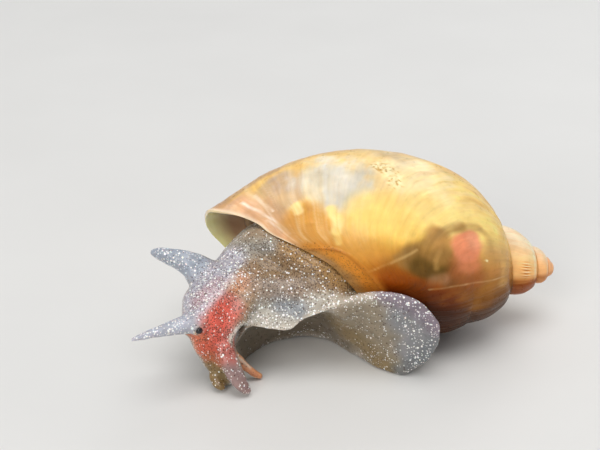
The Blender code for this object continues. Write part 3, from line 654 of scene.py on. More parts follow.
def shellColours(facts, points):
    angle, along, stage, share, size = facts.T
    flat = shellMap(facts)
    tone = np.tile(shellTones["horn"], (len(facts), 1))
    last = fade(angle, whorlStart, whorlStart + 20)
    wander = flat + 0.22 * np.column_stack([lumps(points + 40, 2.0), lumps(points + 80, 2.0)])
    wander = wander + 0.09 * np.column_stack([lumps(points + 50, 0.6), lumps(points + 90, 0.6)])
    bent = stage + 2.5 * lumps(points + 60, 1.5, 2)
    cloud = fade(0.6 * lumps(points + 17, 1.0, 3) + 0.5 * brush(bent, along, 5.0, 1.4, 2), -0.35, 0.55)
    # mantle seen through the far side, and the underside
    mottle = fade(lumps(points, 1.7, 3), -0.25, 0.55)
    tone = laid(tone, shellTones["farMantle"], 0.75 * fade(angle, 30, 55) * (1 - mottle))
    tone = laid(tone, shellTones["underside"], 0.85 * fade(angle, 80, 115) * fade(along, 20, 14))
    # the near side takes the tones seen through, which include painted shade towards the underside
    nearSide = fade(angle + 4 * lumps(points, 2.4, 2), -34, -48)
    tone = laid(tone, seenThroughAndShade(angle, along), last * nearSide)
    for colour, strength, patchy, width, soft, line in shellMarks:
        place = flat + 0.4 * (wander - flat) if width < 0.1 else wander   # fine lines wander less
        amount = last * strength * (1 - patchy * (1 - cloud))
        tone = laid(tone, colour, amount * nearLine(place, onShellMap(line), width, soft))
    # pale and dark strokes that follow the growth lines
    wide = brush(bent, along, 6.0, 1.6, 3)
    fine = brush(bent, along, 2.0, 2.4, 4)
    back = fade(angle, -38, -18) * fade(along, 16, 12)
    front = fade(share, 0.66, 0.86) * fade(angle, -66, -56)
    drawn = last * (0.15 + 0.6 * np.clip(back + front, 0, 1)) * fade(angle, -75, -50)
    tone = laid(tone, shellTones["brownStroke"], 0.28 * drawn * fade(wide, 0.1, 0.8))
    tone = laid(tone, shellTones["creamStroke"], 0.30 * drawn * fade(wide, -0.1, -0.9))
    tone = laid(tone, shellTones["paleHair"], 0.22 * drawn * fade(fine, 0.15, 0.65))
    tone = laid(tone, shellTones["brownHair"], 0.18 * drawn * fade(fine, -0.2, -0.7))
    # a pale edge along the lip, partly its own pale rim and partly a painted highlight
    tone = laid(tone, shellTones["lipEdgeAndHighlight"], 0.9 * fade(share, 0.985, 0.997) * fade(angle, -70, -60))
    # the flesh seen through the thin film along the inner end of the lip
    fromEdge = keyed(frontEdge, angle)[:, 1] - along
    film = fade(angle, -57, -71) * fade(angle, -128, -116) * fade(fromEdge, 1.43, 0.13)
    tone = laid(tone, shellTones["film"], 0.75 * film * (0.6 + 0.4 * cloud))
    # shoulder and spire: cream above, orange below and dark brown underneath by which way the surface faces,
    # partly the spire's own colours and partly painted light and shade; darker in the sutures
    turnAngle = (angle + 180) % 360 - 180
    low = fade(turnAngle, -15, -75) * fade(turnAngle, -190, -130)
    underShade = fade(turnAngle, -80, -102) * fade(turnAngle, -190, -140)
    spire = fade(angle, -186, -246)
    fromSuture = (along - whorlTop(angle)) / size
    ridge = np.exp(-((fromSuture - 0.95) / 0.3)**2)
    tone = laid(tone, shellTones["spireTopCreamLit"], spire)
    tone = laid(tone, shellTones["spireLowOrangeShade"], spire * low)
    tone = laid(tone, shellTones["spireUnderShade"], spire * underShade)
    tone = laid(tone, shellTones["suture"], 0.75 * fade(fromSuture, 0.45, 0) * (0.1 + 0.9 * spire))
    tone = laid(tone, shellTones["shoulder"], 0.5 * spire * ridge * (1 - underShade))
    tone = laid(tone, shellTones["spireStroke"], 0.25 * spire * fade(wide, 0, 0.6))
    # crust, short ribs and tip
    rough = lumps(points, 0.17, 2)
    ribs = ribsAt(angle, fromSuture)
    tone = laid(tone, shellTones["crustDark"], 0.7 * crustAt(flat) * fade(rough, -0.3, -0.6))
    tone = laid(tone, shellTones["crustPale"], 0.8 * crustAt(flat) * fade(rough, -0.1, 0.3))
    tone = laid(tone, shellTones["ribPale"], 0.8 * np.clip(ribs, 0, 1))
    tone = laid(tone, shellTones["ribDark"], 0.6 * np.clip(-ribs, 0, 1))
    tone = laid(tone, shellTones["tip"], 0.85 * fade(size, 0.3, 0.16))
    return tone * (1 + 0.02 * brush(bent, along, 3.0, 1.5, 5) + 0.05 * lumps(points, 0.8, 2))[:, None]


def shellFlecks(facts, points):  # where dark grit shows in the shell
    flat = shellMap(facts)
    crust = crustAt(flat) * fade(lumps(points, 0.5, 2), 0, 0.4)
    film = nearLine(flat, onShellMap([(-69, 18.7), (-78, 17.0), (-90, 15.6)]), 0.7, 0.8)
    return np.clip(0.5 * crust + 0.9 * film, 0, 1)


def addWall(shell, facts):  # a wall on the inner side, thinner towards the tip
    wall = shell.modifiers.new("wall", "SOLIDIFY")
    wall.thickness = shellShape["wall"] * mm
    wall.offset = -1
    thin = shell.vertex_groups.new(name="thin")
    thin.add(range(len(facts)), 1.0, "REPLACE")
    steps = 20   # one weight for each step of size
    level = np.ceil(np.clip(facts[:, 4] / shellShape["thinBelow"], 0.02, 1) * steps).astype(int)
    for k in range(1, steps):
        thin.add(np.flatnonzero(level == k).tolist(), k / steps, "REPLACE")
    wall.vertex_group = "thin"
    wall.material_offset = 1
    wall.material_offset_rim = 2
    applyModifiers(shell)


def removeUnseen(shell, facts):  # the inner face of the early whorls is never seen
    angle = facts[:, 0]
    share = facts[:, 3]
    shoulderAngle, shoulderShare = shellShape["shoulderClosed"]
    closed = (angle < shellShape["closedBefore"]) | ((angle < shoulderAngle) & (share < shoulderShare))
    sheet = bmesh.new()
    sheet.from_mesh(shell.data)
    unseen = []
    for face in sheet.faces:
        if face.material_index == 1 and any(closed[v.index - len(facts)] for v in face.verts):
            unseen.append(face)
    bmesh.ops.delete(sheet, geom=unseen, context="FACES")
    sheet.to_mesh(shell.data)
    sheet.free()


def buildShell():
    points, facts, faces = shellSheet()
    shell = meshFrom("shell", points, faces)
    normals = readMesh(shell.data, "normal")
    outward = np.einsum("ij,ij->i", normals, points - shellPoint(facts[:, 0], 0 * facts[:, 0], facts[:, 1]))
    if outward.mean() < 0:
        shell.data.flip_normals()
        normals = -normals
    points = points + normals * shellHeights(facts, points)[:, None]
    setPoints(shell.data, toFrame(points))
    storeColour(shell.data, "tint", shellColours(facts, points))
    storeValues(shell.data, "lines", np.column_stack([facts[:, 2] / 4, facts[:, 1] / 3, facts[:, 3]]))
    storeValues(shell.data, "fleck", shellFlecks(facts, points))
    shadeSmooth(shell)
    for mat in (shellHorn(), shellInside(), shellRim()):
        shell.data.materials.append(mat)
    addWall(shell, facts)
    removeUnseen(shell, facts)
    shadeSmooth(shell)
    print("shell built,", len(shell.data.polygons), "faces")
    return shell


def shellHorn():
    mat, tree, shader = newMaterial("shellHorn", {
        "Roughness": 0.3, "Subsurface Weight": 0.2, "Subsurface Radius": (1.0, 0.7, 0.45),
        "Subsurface Scale": 0.00015, "Coat Weight": 0.1, "Coat Roughness": 0.08, "IOR": 1.4,
        "Specular IOR Level": 0.25, "Specular Tint": (1.0, 0.72, 0.42, 1),
    })
    place = places(tree)
    lines = noise(tree, painted(tree, "lines", "Vector"), 3.0, 4.0, Roughness=0.6)
    grain = noise(tree, place, 2600.0, 3.0)
    tint = mixed(tree, 1.0, painted(tree, "tint"), ranged(tree, lines, 0.3, 0.7, 0.955, 1.03), "MULTIPLY")
    tint = mixed(tree, 1.0, tint, ranged(tree, grain, 0.3, 0.7, 0.97, 1.03), "MULTIPLY")
    grit = specks(tree, place, 8200.0, painted(tree, "fleck", "Fac"), 0.5, 0.2)
    tint = mixed(tree, maths(tree, "MULTIPLY", grit, 0.55), tint, (0.16, 0.07, 0.02, 1))
    tree.links.new(tint, shader.inputs["Base Color"])
    tree.links.new(ranged(tree, grain, 0.3, 0.7, 0.24, 0.42), shader.inputs["Roughness"])
    height = maths(tree, "ADD", maths(tree, "MULTIPLY", lines, 0.8), maths(tree, "MULTIPLY", grain, 0.35))
    setBump(tree, shader, height, 0.5, 0.00004)
    return mat


def shellInside():
    mat, tree, shader = newMaterial("shellInside", {
        "Roughness": 0.25, "Subsurface Weight": 0.35, "Subsurface Radius": (1.0, 0.8, 0.35),
        "Subsurface Scale": 0.0005, "Coat Weight": 0.4, "Coat Roughness": 0.1,
    })
    growth = painted(tree, "lines", "Vector")
    lines = noise(tree, growth, 1.6, 3.0)
    reach = node(tree, "ShaderNodeSeparateXYZ", {"Vector": growth}).outputs["Z"]
    # darker deeper inside the lip: the inside's pinkish brown with painted shade of the hollow; pale at the
    # edge
    deepShadedTone = mixed(tree, lines, shown(0.62, 0.49, 0.39), shown(0.78, 0.66, 0.52))
    edge = mixed(tree, lines, shown(0.84, 0.80, 0.52), shown(0.97, 0.95, 0.74))
    tint = mixed(tree, ranged(tree, reach, 0.9, 0.975, 0.0, 1.0), deepShadedTone, edge)
    tree.links.new(tint, shader.inputs["Base Color"])
    setBump(tree, shader, lines, 0.4, 0.00004)
    return mat


def shellRim():
    mat, tree, shader = newMaterial("shellRim", {
        "Roughness": 0.22, "Subsurface Weight": 0.4, "Subsurface Radius": (1.0, 0.7, 0.4),
        "Subsurface Scale": 0.0004, "Coat Weight": 0.5, "Coat Roughness": 0.1,
    })
    grain = noise(tree, places(tree), 1800.0, 2.0)
    tint = mixed(tree, grain, shown(0.93, 0.76, 0.52), shown(0.97, 0.88, 0.68))
    tree.links.new(tint, shader.inputs["Base Color"])
    setBump(tree, shader, grain, 0.3, 0.00003)
    return mat


# Mantle, the soft collar that fills the shell behind its lip
mantleShape = {
    "clearance": 0.42,       # distance inside the outer face of the shell
    "farRecess": 6.0,        # how far it stays behind the lip on the far side, and on the near side
    "nearRecess": 0.5,
    "outerAdvance": 3.0,     # how much further forward it comes towards the outer lip
    "startShare": 0.3,       # where it starts between suture and front, and how much later at the inner end
    "innerStart": 0.5,
    "angleStep": 4.0,
    "everyRow": 5,
    "rows": 26,
    "capRows": 9,
    "capBulge": 0.5,
    "capHollow": 0.8,
    "smoothing": 1,
}


def mantleRing(angle):  # from behind the lip to the rounded front, closed in towards the axis
    rows = whorlAt(angle)[::mantleShape["everyRow"]]
    near = mantleShape["nearRecess"]
    recess = near + (mantleShape["farRecess"] - near) * fade(angle, -70, -10) * fade(angle, -107, -87)
    recess -= mantleShape["outerAdvance"] * fade(angle, 35, 75)
    stop = keyed(frontEdge, angle)[0, 1] - recess
    start = mantleShape["startShare"] + mantleShape["innerStart"] * fade(angle, -214, -238)
    along = np.linspace(rows[0, 1] + start * (stop - rows[0, 1]), stop, mantleShape["rows"])
    radius = np.interp(along, rows[:, 1], rows[:, 0]) - mantleShape["clearance"]
    t = np.linspace(0, 1, mantleShape["capRows"] + 1)[1:]
    capRadius = radius[-1] * np.cos(t * np.pi / 2) + 0.02
    capAlong = along[-1] + mantleShape["capBulge"] * np.sin(t * np.pi / 2) - mantleShape["capHollow"] * t
    return shellPoint(np.full(len(along) + len(t), angle), np.append(radius, capRadius),
                      np.append(along, capAlong))


def buildMantle():
    angles = np.arange(whorlStart, shellShape["lastAngle"] + 0.1, mantleShape["angleStep"])
    rings = [mantleRing(angle) for angle in angles]
    rows = len(rings[0])
    faces = []
    for i in range(len(rings)):
        k = (i + 1) % len(rings)
        for j in range(rows - 1):
            faces.append((i * rows + j, i * rows + j + 1, k * rows + j + 1, k * rows + j))
    mantle = meshFrom("mantle", toFrame(np.vstack(rings)), faces)
    soft = mantle.modifiers.new("soft", "SMOOTH")
    soft.iterations = mantleShape["smoothing"]
    applyModifiers(mantle)
    shadeSmooth(mantle)
    mantle.data.materials.append(mantleSkin())
    print("mantle built")
    return mantle


def mantleSkin():
    mat, tree, shader = newMaterial("mantleSkin", {
        "Roughness": 0.35, "Subsurface Weight": 0.3, "Subsurface Radius": (1.0, 0.5, 0.3),
        "Subsurface Scale": 0.0005, "Coat Weight": 0.5, "Coat Roughness": 0.12,
    })
    place = places(tree)
    cloud = noise(tree, place, 700.0, 4.0)
    ramp = node(tree, "ShaderNodeValToRGB", {"Fac": cloud})
    dark, pale = ramp.color_ramp.elements
    dark.position = 0.35
    dark.color = shown(0.36, 0.28, 0.20)
    pale.position = 0.65
    pale.color = shown(0.60, 0.50, 0.38)
    dots = specks(tree, place, 3200.0, 0.35, 0.4, 0.15)
    tint = mixed(tree, dots, ramp.outputs["Color"], (0.75, 0.68, 0.55, 1))
    tree.links.new(tint, shader.inputs["Base Color"])
    setBump(tree, shader, cloud, 0.4, 0.00006)
    return mat


# Skin: lofts joined, remeshed and smoothed to one surface
skinShape = {
    "voxel": 0.085,
    "smoothing": 24,           # rounds of smoothing all over, and more along evenLines
    "evenSmoothing": 90,
    "limbSides": 40,
    "limbRings": 60,
    "footSides": 90,
    "footRings": 110,
    "eyeRing": 0.08,           # height of the fold round each eye, its radius and half width
    "eyeRingRadius": 0.37,
    "eyeRingWidth": 0.12,
    "tone": (0.64, 0.6, 0.55),
    "specks": (0.3, 0.35, 0.25),   # large white ones, fine white dust, dark flecks
}
# the foot, station by station: x, then y and z of near sole edge, near rim, top, far rim and far sole edge
footStations = [
    (-14.2, -6.4, 0.0, -7.4, 1.0, -5.0, 2.0, -2.6, 1.1, -3.2, 0.0),
    (-13.4, -6.0, 0.0, -7.7, 3.0, -4.0, 4.4, -0.2, 1.6, -1.0, 0.0),
    (-12.4, -4.2, 0.0, -7.9, 4.1, -2.8, 6.2, 1.9, 1.8, 1.1, 0.0),
    (-11.0, -2.8, 0.0, -8.1, 4.0, -2.2, 7.2, 3.3, 1.9, 2.3, 0.0),
    (-9.9, -2.4, 0.0, -8.1, 4.0, -1.9, 7.4, 3.9, 2.0, 2.8, 0.0),
    (-9.0, -2.2, 0.0, -7.6, 4.5, -1.7, 7.4, 4.2, 2.0, 3.0, 0.0),
    (-7.9, -2.4, 0.0, -7.4, 4.9, -1.5, 7.2, 4.3, 2.0, 3.1, 0.0),
    (-6.8, -3.2, 0.0, -7.3, 5.5, -1.4, 6.8, 4.2, 1.9, 3.0, 0.0),
    (-5.6, -4.7, 0.0, -7.3, 6.0, -1.5, 5.6, 3.9, 1.7, 2.8, 0.0),
    (-4.1, -6.5, 0.0, -7.5, 6.4, -2.0, 3.6, 3.2, 1.4, 2.2, 0.0),
    (-2.6, -7.5, 0.0, -7.7, 6.3, -3.2, 2.2, 1.4, 1.0, 0.6, 0.0),
    (-1.3, -7.7, 0.7, -8.0, 5.9, -5.0, 1.8, -2.2, 1.0, -3.0, 0.5),
    (-0.4, -8.1, 1.7, -8.3, 5.1, -7.2, 3.0, -6.4, 2.2, -6.6, 1.7),
    (0.15, -8.3, 2.9, -8.4, 4.3, -7.8, 3.6, -7.5, 3.1, -7.6, 2.9),
]
# limbs: x, y, z, half width, half height, and a roll in degrees where there is one
limbs = {
    "neck": [
        (-9.6, -0.9, 5.6, 3.0, 2.4), (-11.8, -2.2, 5.4, 2.9, 2.3), (-13.4, -4.0, 5.1, 2.6, 2.1),
        (-14.8, -5.7, 4.8, 2.35, 1.9), (-15.9, -7.0, 4.4, 1.9, 1.6), (-16.6, -7.7, 4.1, 1.0, 1.0),
    ],
    "snout": [
        (-15.6, -7.2, 4.6, 1.5, 1.8), (-15.35, -7.75, 3.4, 1.42, 1.6), (-14.95, -8.2, 2.2, 1.15, 1.3),
        (-14.55, -8.6, 1.2, 0.85, 1.0), (-14.25, -8.85, 0.45, 0.55, 0.6),
    ],
    "nearFeeler": [
        (-15.2, -8.0, 4.5, 1.1, 0.95), (-16.3, -8.6, 4.72, 0.9, 0.72), (-17.6, -9.3, 4.75, 0.62, 0.5),
        (-19.0, -10.0, 4.7, 0.38, 0.33), (-19.9, -10.45, 4.62, 0.2, 0.2),
        (-20.3, -10.66, 4.58, 0.11, 0.11),
    ],
    "farFeeler": [
        (-14.4, -5.2, 5.4, 1.6, 1.1, 30), (-15.6, -4.7, 6.15, 1.35, 0.95, 30),
        (-17.0, -4.25, 6.98, 0.8, 0.86, 25), (-18.3, -4.0, 7.38, 0.5, 0.6, 20),
        (-19.0, -3.88, 7.56, 0.32, 0.42, 15), (-19.4, -3.82, 7.62, 0.18, 0.2, 10),
    ],
    "nearLobe": [
        (-14.5, -8.9, 3.0, 0.75, 0.7), (-14.05, -9.4, 2.2, 0.75, 0.62),
        (-13.65, -9.8, 1.5, 0.68, 0.52), (-13.2, -10.1, 0.85, 0.6, 0.45),
        (-12.8, -10.2, 0.4, 0.4, 0.36),
    ],
    "farLobe": [
        (-15.0, -7.2, 2.3, 0.7, 0.8), (-15.4, -6.5, 1.5, 0.85, 0.8), (-15.2, -5.7, 0.8, 0.8, 0.65),
        (-14.8, -5.0, 0.35, 0.45, 0.4),
    ],
    "nape": [
        (-14.2, -4.2, 5.6, 1.5, 1.5), (-13.7, -3.2, 6.2, 1.45, 1.45), (-13.0, -2.5, 7.0, 1.3, 1.3),
        (-12.4, -2.0, 7.6, 1.15, 1.15), (-11.6, -1.5, 8.0, 1.0, 1.0),
    ],
    "collar": [
        (-13.0, -2.6, 7.5, 0.9, 0.9), (-12.2, -2.7, 8.1, 0.95, 0.95), (-10.8, -3.5, 7.8, 0.95, 0.95),
        (-9.7, -4.05, 7.5, 1.0, 1.0), (-8.6, -4.7, 7.15, 1.0, 1.0), (-7.3, -5.1, 6.7, 0.95, 0.95),
        (-6.2, -5.0, 5.95, 0.85, 0.85),
    ],
    "apron": [
        (-13.6, -5.6, 4.9, 1.3, 1.2), (-12.2, -5.2, 5.3, 1.3, 1.3), (-10.9, -5.2, 5.3, 1.3, 1.3),
        (-9.6, -5.3, 5.3, 1.25, 1.2), (-8.3, -5.5, 5.3, 1.1, 1.1), (-7.0, -5.8, 5.3, 0.9, 0.9),
    ],
    "cheek": [
        (-12.6, -5.6, 5.4, 1.2, 1.0), (-13.4, -6.8, 4.9, 1.0, 0.9), (-14.0, -7.6, 4.4, 0.8, 0.8),
        (-14.5, -8.1, 3.7, 0.7, 0.8),
    ],
    "corner": [
        (-13.2, -7.7, 4.45, 0.5, 0.5), (-13.75, -7.95, 4.05, 0.52, 0.5), (-14.1, -8.15, 3.5, 0.5, 0.5),
        (-14.1, -8.3, 2.9, 0.46, 0.5), (-13.85, -8.35, 2.2, 0.4, 0.42), (-13.3, -8.3, 1.5, 0.32, 0.34),
        (-12.75, -8.2, 0.9, 0.27, 0.28), (-12.3, -8.05, 0.42, 0.25, 0.25),
        (-12.0, -8.0, 0.25, 0.2, 0.2),
    ],
    "mouth": [
        (-15.2, -9.1, 0.95, 0.35, 0.4), (-14.9, -9.5, 0.6, 0.4, 0.45), (-14.5, -9.8, 0.4, 0.35, 0.35),
    ],
}
# kept crisp while the joints melt into each other: half width, softness, points
crispLines = [
    (0.7, 1.2, [(-17.6, -9.3, 4.7), (-20.2, -10.6, 4.6)]),
    (0.7, 1.2, [(-17.4, -4.2, 6.9), (-19.3, -3.85, 7.45)]),
    (0.4, 0.3, [(-13.3, -8.3, 1.5), (-11.9, -7.9, 0.25)]),
    (0.4, 0.3, [(-11.9, -8.0, 4.05), (-11.0, -8.1, 4.0), (-9.9, -8.1, 4.0), (-9.0, -7.6, 4.5),
                (-7.4, -7.4, 5.2)]),
]
# one even curve from the head to the lip, and the notch behind the head: half width, softness, points
evenLines = [
    (1.4, 1.2, [(-13.2, -4.8, 6.9), (-11.0, -5.0, 7.0), (-8.0, -5.6, 6.2)]),
    (0.3, 0.5, [(-13.2, -8.0, 4.1), (-12.8, -7.9, 4.2)]),
]
# folds on the skin: height, half width, then points
skinRelief = [
    (0.12, 0.34, [(-13.6, -5.4, 6.9), (-14.34, -6.7, 6.5), (-15.2, -7.9, 5.85), (-16.2, -8.6, 5.5)]),
    (-0.1, 0.55, [(-13.4, -6.6, 6.1), (-14.2, -7.5, 5.6), (-14.8, -8.4, 5.1)]),
    (-0.16, 0.75, [(-11.2, -6.5, 4.7), (-10.0, -6.4, 4.7), (-9.4, -6.6, 4.9)]),
    (0.09, 0.28, [(-15.9, -9.2, 4.05), (-16.3, -9.1, 4.3), (-16.4, -8.9, 4.8), (-16.1, -8.9, 5.0)]),
    (-0.1, 0.14, [(-14.6, -9.3, 2.6), (-14.6, -9.6, 1.9), (-14.4, -9.9, 1.1)]),
    (-0.08, 0.16, [(-13.9, -8.75, 3.0), (-13.6, -8.85, 2.2), (-13.1, -8.9, 1.4)]),
    (-0.12, 0.09, [(-15.5, -8.6, 1.3), (-15.2, -8.9, 0.9), (-14.9, -9.3, 0.5)]),
]
# tones on the skin: tone, strength, half width, softness, then points
skinMarks = [
    # neck
    ((0.7, 0.67, 0.61), 0.9, 0.7, 1.3, [(-14.1, -4.2, 7.2), (-13.4, -4.2, 7.2)]),
    ((0.6, 0.49, 0.36), 0.95, 0.9, 1.4, [(-12.0, -4.0, 7.8), (-12.2, -5.0, 6.9), (-10.6, -4.5, 7.8),
        (-9.3, -5.2, 7.0), (-7.9, -5.6, 6.2), (-6.5, -5.8, 5.8)]),
    ((0.67, 0.52, 0.31), 0.8, 0.3, 0.8, [(-9.8, -4.4, 8.3), (-8.5, -5.1, 7.9), (-7.3, -5.6, 7.3),
        (-6.1, -5.9, 6.4)]),
    ((0.6, 0.53, 0.47), 0.8, 0.4, 0.9, [(-12.0, -6.4, 6.0), (-10.6, -6.0, 5.9), (-9.0, -6.0, 5.6)]),
    ((0.69, 0.66, 0.61), 0.9, 0.55, 1.0, [(-12.7, -7.2, 4.7), (-11.3, -7.3, 4.4), (-9.8, -7.4, 4.3),
        (-8.0, -7.0, 5.0)]),
    ((0.52, 0.54, 0.57), 0.75, 0.2, 0.9, [(-10.6, -6.4, 4.9), (-9.4, -6.7, 4.7)]),
    ((0.62, 0.62, 0.6), 0.8, 0.2, 1.0, [(-13.2, -3.8, 7.9), (-12.4, -3.9, 8.2), (-11.6, -4.2, 8.2)]),
    # head
    ((0.69, 0.67, 0.71), 0.95, 1.0, 1.0, [(-14.4, -4.4, 6.9), (-15.5, -6.0, 6.4), (-16.5, -7.5, 5.6)]),
    ((0.72, 0.6, 0.62), 0.8, 0.4, 0.8, [(-14.6, -6.6, 6.6), (-15.3, -7.1, 6.3), (-15.9, -7.6, 5.9)]),
    ((0.64, 0.51, 0.39), 0.9, 0.4, 0.8, [(-12.7, -5.6, 6.8), (-12.9, -6.4, 6.1), (-13.2, -7.2, 5.6),
        (-13.3, -7.8, 5.1)]),
    ((0.79, 0.57, 0.43), 0.9, 0.25, 0.7, [(-13.3, -6.0, 6.6), (-13.9, -6.8, 6.3), (-14.0, -7.3, 5.8)]),
    ((0.83, 0.63, 0.64), 0.8, 0.2, 0.6, [(-14.6, -7.4, 6.0), (-15.2, -8.2, 5.7), (-15.9, -9.0, 5.2)]),
    ((0.83, 0.5, 0.45), 0.95, 0.65, 0.9, [(-14.1, -7.7, 5.4), (-14.6, -8.4, 4.9), (-14.8, -8.9, 4.2),
        (-14.6, -9.0, 3.6)]),
    ((0.87, 0.38, 0.31), 0.85, 0.45, 0.9, [(-14.5, -8.1, 5.3), (-14.9, -8.7, 4.6), (-15.2, -9.1, 3.6)]),
    ((0.82, 0.44, 0.3), 0.95, 0.4, 0.7, [(-16.6, -8.7, 3.8), (-16.0, -9.0, 3.6), (-15.9, -9.0, 2.9)]),
    ((0.76, 0.33, 0.23), 0.9, 0.4, 0.7, [(-15.4, -9.2, 3.0), (-15.0, -9.3, 2.7)]),
    ((0.66, 0.36, 0.22), 0.9, 0.35, 0.6, [(-15.3, -9.2, 2.2), (-14.7, -9.5, 2.2)]),
    ((0.74, 0.42, 0.38), 0.9, 0.35, 0.6, [(-13.9, -8.8, 3.4), (-14.0, -9.4, 3.1), (-13.9, -9.8, 2.6)]),
    ((0.57, 0.46, 0.45), 0.9, 0.4, 0.7, [(-13.9, -10.2, 1.7), (-13.3, -10.3, 1.4), (-12.8, -10.5, 0.7)]),
    ((0.5, 0.4, 0.23), 0.9, 0.45, 0.5, [(-15.2, -9.2, 1.4), (-14.8, -9.6, 0.8), (-14.5, -9.9, 0.4)]),
    # pale line along the ridge of the head: painted highlight
    ((0.8, 0.78, 0.82), 0.6, 0.12, 0.5, [(-13.9, -5.9, 6.8), (-14.6, -7.0, 6.4), (-15.3, -8.0, 5.9),
        (-16.3, -8.6, 5.5)]),
    ((0.92, 0.8, 0.68), 0.9, 0.03, 0.16, [(-16.36, -9.2, 4.5), (-16.28, -9.3, 4.3), (-16.0, -9.4, 4.2)]),
    # tentacles
    ((0.61, 0.64, 0.69), 0.95, 0.8, 0.7, [(-16.6, -4.4, 6.8), (-17.6, -4.1, 7.1), (-19.4, -3.8, 7.6)]),
    ((0.67, 0.68, 0.73), 0.95, 0.7, 0.6, [(-17.0, -9.0, 4.8), (-18.2, -9.6, 4.8), (-20.2, -10.6, 4.7)]),
    # corner of the foot
    ((0.8, 0.54, 0.38), 0.95, 0.25, 0.4, [(-13.6, -8.6, 2.0), (-13.1, -8.5, 1.4), (-12.5, -8.3, 0.8),
        (-11.9, -8.0, 0.3)]),
    # under the near rim: a darker grey-brown, painted shade in the recess
    ((0.46, 0.41, 0.34), 0.95, 1.2, 1.0, [(-12.6, -4.8, 1.4), (-10.4, -3.4, 2.0), (-8.2, -3.4, 2.2),
        (-6.8, -4.4, 1.6)]),
    # tail lobe
    ((0.52, 0.44, 0.3), 0.95, 0.9, 1.4, [(-6.4, -5.8, 2.8), (-4.8, -6.9, 1.9), (-3.4, -7.4, 1.0)]),
    ((0.55, 0.5, 0.42), 0.95, 0.9, 1.4, [(-5.2, -6.9, 4.4), (-3.8, -7.3, 3.5), (-2.8, -7.7, 2.6)]),
    ((0.52, 0.52, 0.53), 0.95, 0.7, 1.3, [(-2.2, -7.8, 4.6), (-1.2, -8.0, 3.7), (-1.4, -7.9, 2.2)]),
    # pale top rim of the tail lobe: painted highlight
    ((0.7, 0.66, 0.6), 0.9, 0.2, 0.8, [(-7.3, -6.8, 5.6), (-6.0, -7.2, 6.0), (-4.6, -7.4, 6.3)]),
    ((0.51, 0.46, 0.5), 0.9, 0.35, 0.9, [(-3.4, -7.6, 6.3), (-2.0, -7.8, 6.0), (-0.9, -8.1, 5.3),
        (0.1, -8.4, 4.2)]),
    ((0.43, 0.44, 0.45), 0.85, 0.35, 0.9, [(-0.1, -8.2, 2.9), (-1.0, -7.9, 1.4), (-2.2, -7.6, 0.4)]),
    # pale edges, mouth line and the rim below the eye
    ((0.88, 0.85, 0.8), 0.9, 0.1, 0.28, [(-14.0, -8.8, 3.2), (-13.85, -8.6, 3.6), (-13.5, -8.25, 4.0),
        (-13.0, -8.05, 4.2), (-12.4, -8.0, 4.25), (-11.0, -8.1, 4.1), (-9.9, -8.1, 4.1),
        (-9.0, -7.7, 4.55), (-7.9, -7.45, 5.0), (-6.8, -7.35, 5.55)]),
    ((0.82, 0.76, 0.7), 0.8, 0.06, 0.2, [(-14.0, -8.8, 3.2), (-13.9, -8.8, 2.7), (-13.5, -8.7, 2.2),
        (-12.6, -8.4, 1.2)]),
    # dark mouth line: painted shade in the mouth's groove
    ((0.22, 0.15, 0.1), 0.8, 0.03, 0.07, [(-15.5, -8.6, 1.3), (-15.2, -8.9, 0.9), (-14.9, -9.3, 0.5)]),
    ((0.95, 0.8, 0.7), 0.9, 0.07, 0.12, [(-16.3, -9.3, 4.6), (-16.2, -9.42, 4.35), (-16.0, -9.5, 4.2)]),
]
# large white specks, fine white dust and dark flecks, then reach, softness and points
speckMarks = [
    (0.2, 0.36, 1.0, 1.3, 1.2, [(-12.4, -4.8, 7.2), (-9.8, -5.0, 7.0), (-7.0, -5.6, 6.0)]),
    (0.9, 0.8, 0.45, 0.7, 0.9, [(-12.6, -7.0, 4.7), (-11.0, -7.0, 4.7), (-9.0, -6.9, 4.9),
        (-7.2, -6.9, 5.5)]),
    (0.95, 1.0, 0.55, 1.0, 0.9, [(-14.2, -4.6, 7.0), (-15.5, -6.6, 6.3), (-16.4, -8.0, 5.5)]),
    (0.12, 0.45, 0.85, 0.9, 0.7, [(-13.9, -7.4, 5.5), (-14.7, -8.7, 4.5), (-14.8, -9.2, 3.2)]),
    (0.12, 0.45, 0.75, 0.6, 0.5, [(-16.2, -8.9, 3.6), (-15.4, -9.2, 2.4)]),
    (0.5, 0.45, 0.1, 0.6, 0.7, [(-16.8, -4.3, 6.9), (-17.6, -4.2, 7.0)]),
    (1.0, 0.8, 0.0, 0.6, 0.7, [(-18.8, -3.9, 7.4), (-19.4, -3.8, 7.6)]),
    (1.0, 1.0, 0.0, 0.6, 0.7, [(-17.4, -9.2, 4.8), (-20.2, -10.6, 4.6)]),
    (0.45, 0.55, 0.1, 0.8, 0.6, [(-14.0, -9.9, 2.0), (-13.0, -10.4, 0.8)]),
    (0.0, 0.0, 0.2, 0.3, 0.3, [(-13.4, -8.5, 1.7), (-11.9, -8.0, 0.3)]),
    (0.03, 0.5, 0.14, 1.6, 1.3, [(-5.8, -6.6, 3.6), (-3.2, -7.6, 2.6)]),
    (0.28, 0.9, 0.0, 0.4, 1.0, [(-1.8, -7.8, 4.2), (-1.2, -7.9, 2.6)]),
    (0.0, 0.12, 0.1, 1.2, 0.8, [(-13.2, -5.2, 1.2), (-11.0, -4.2, 2.0), (-8.0, -4.2, 2.2),
        (-6.4, -5.0, 1.6)]),
    (1.0, 0.6, 0.0, 0.35, 0.6, [(-6.4, -7.3, 6.1), (-4.6, -7.4, 6.3), (-2.6, -7.6, 6.2),
        (-0.9, -8.1, 5.4), (0.1, -8.4, 4.2), (-0.3, -8.2, 2.6), (-1.4, -7.8, 1.0)]),
]


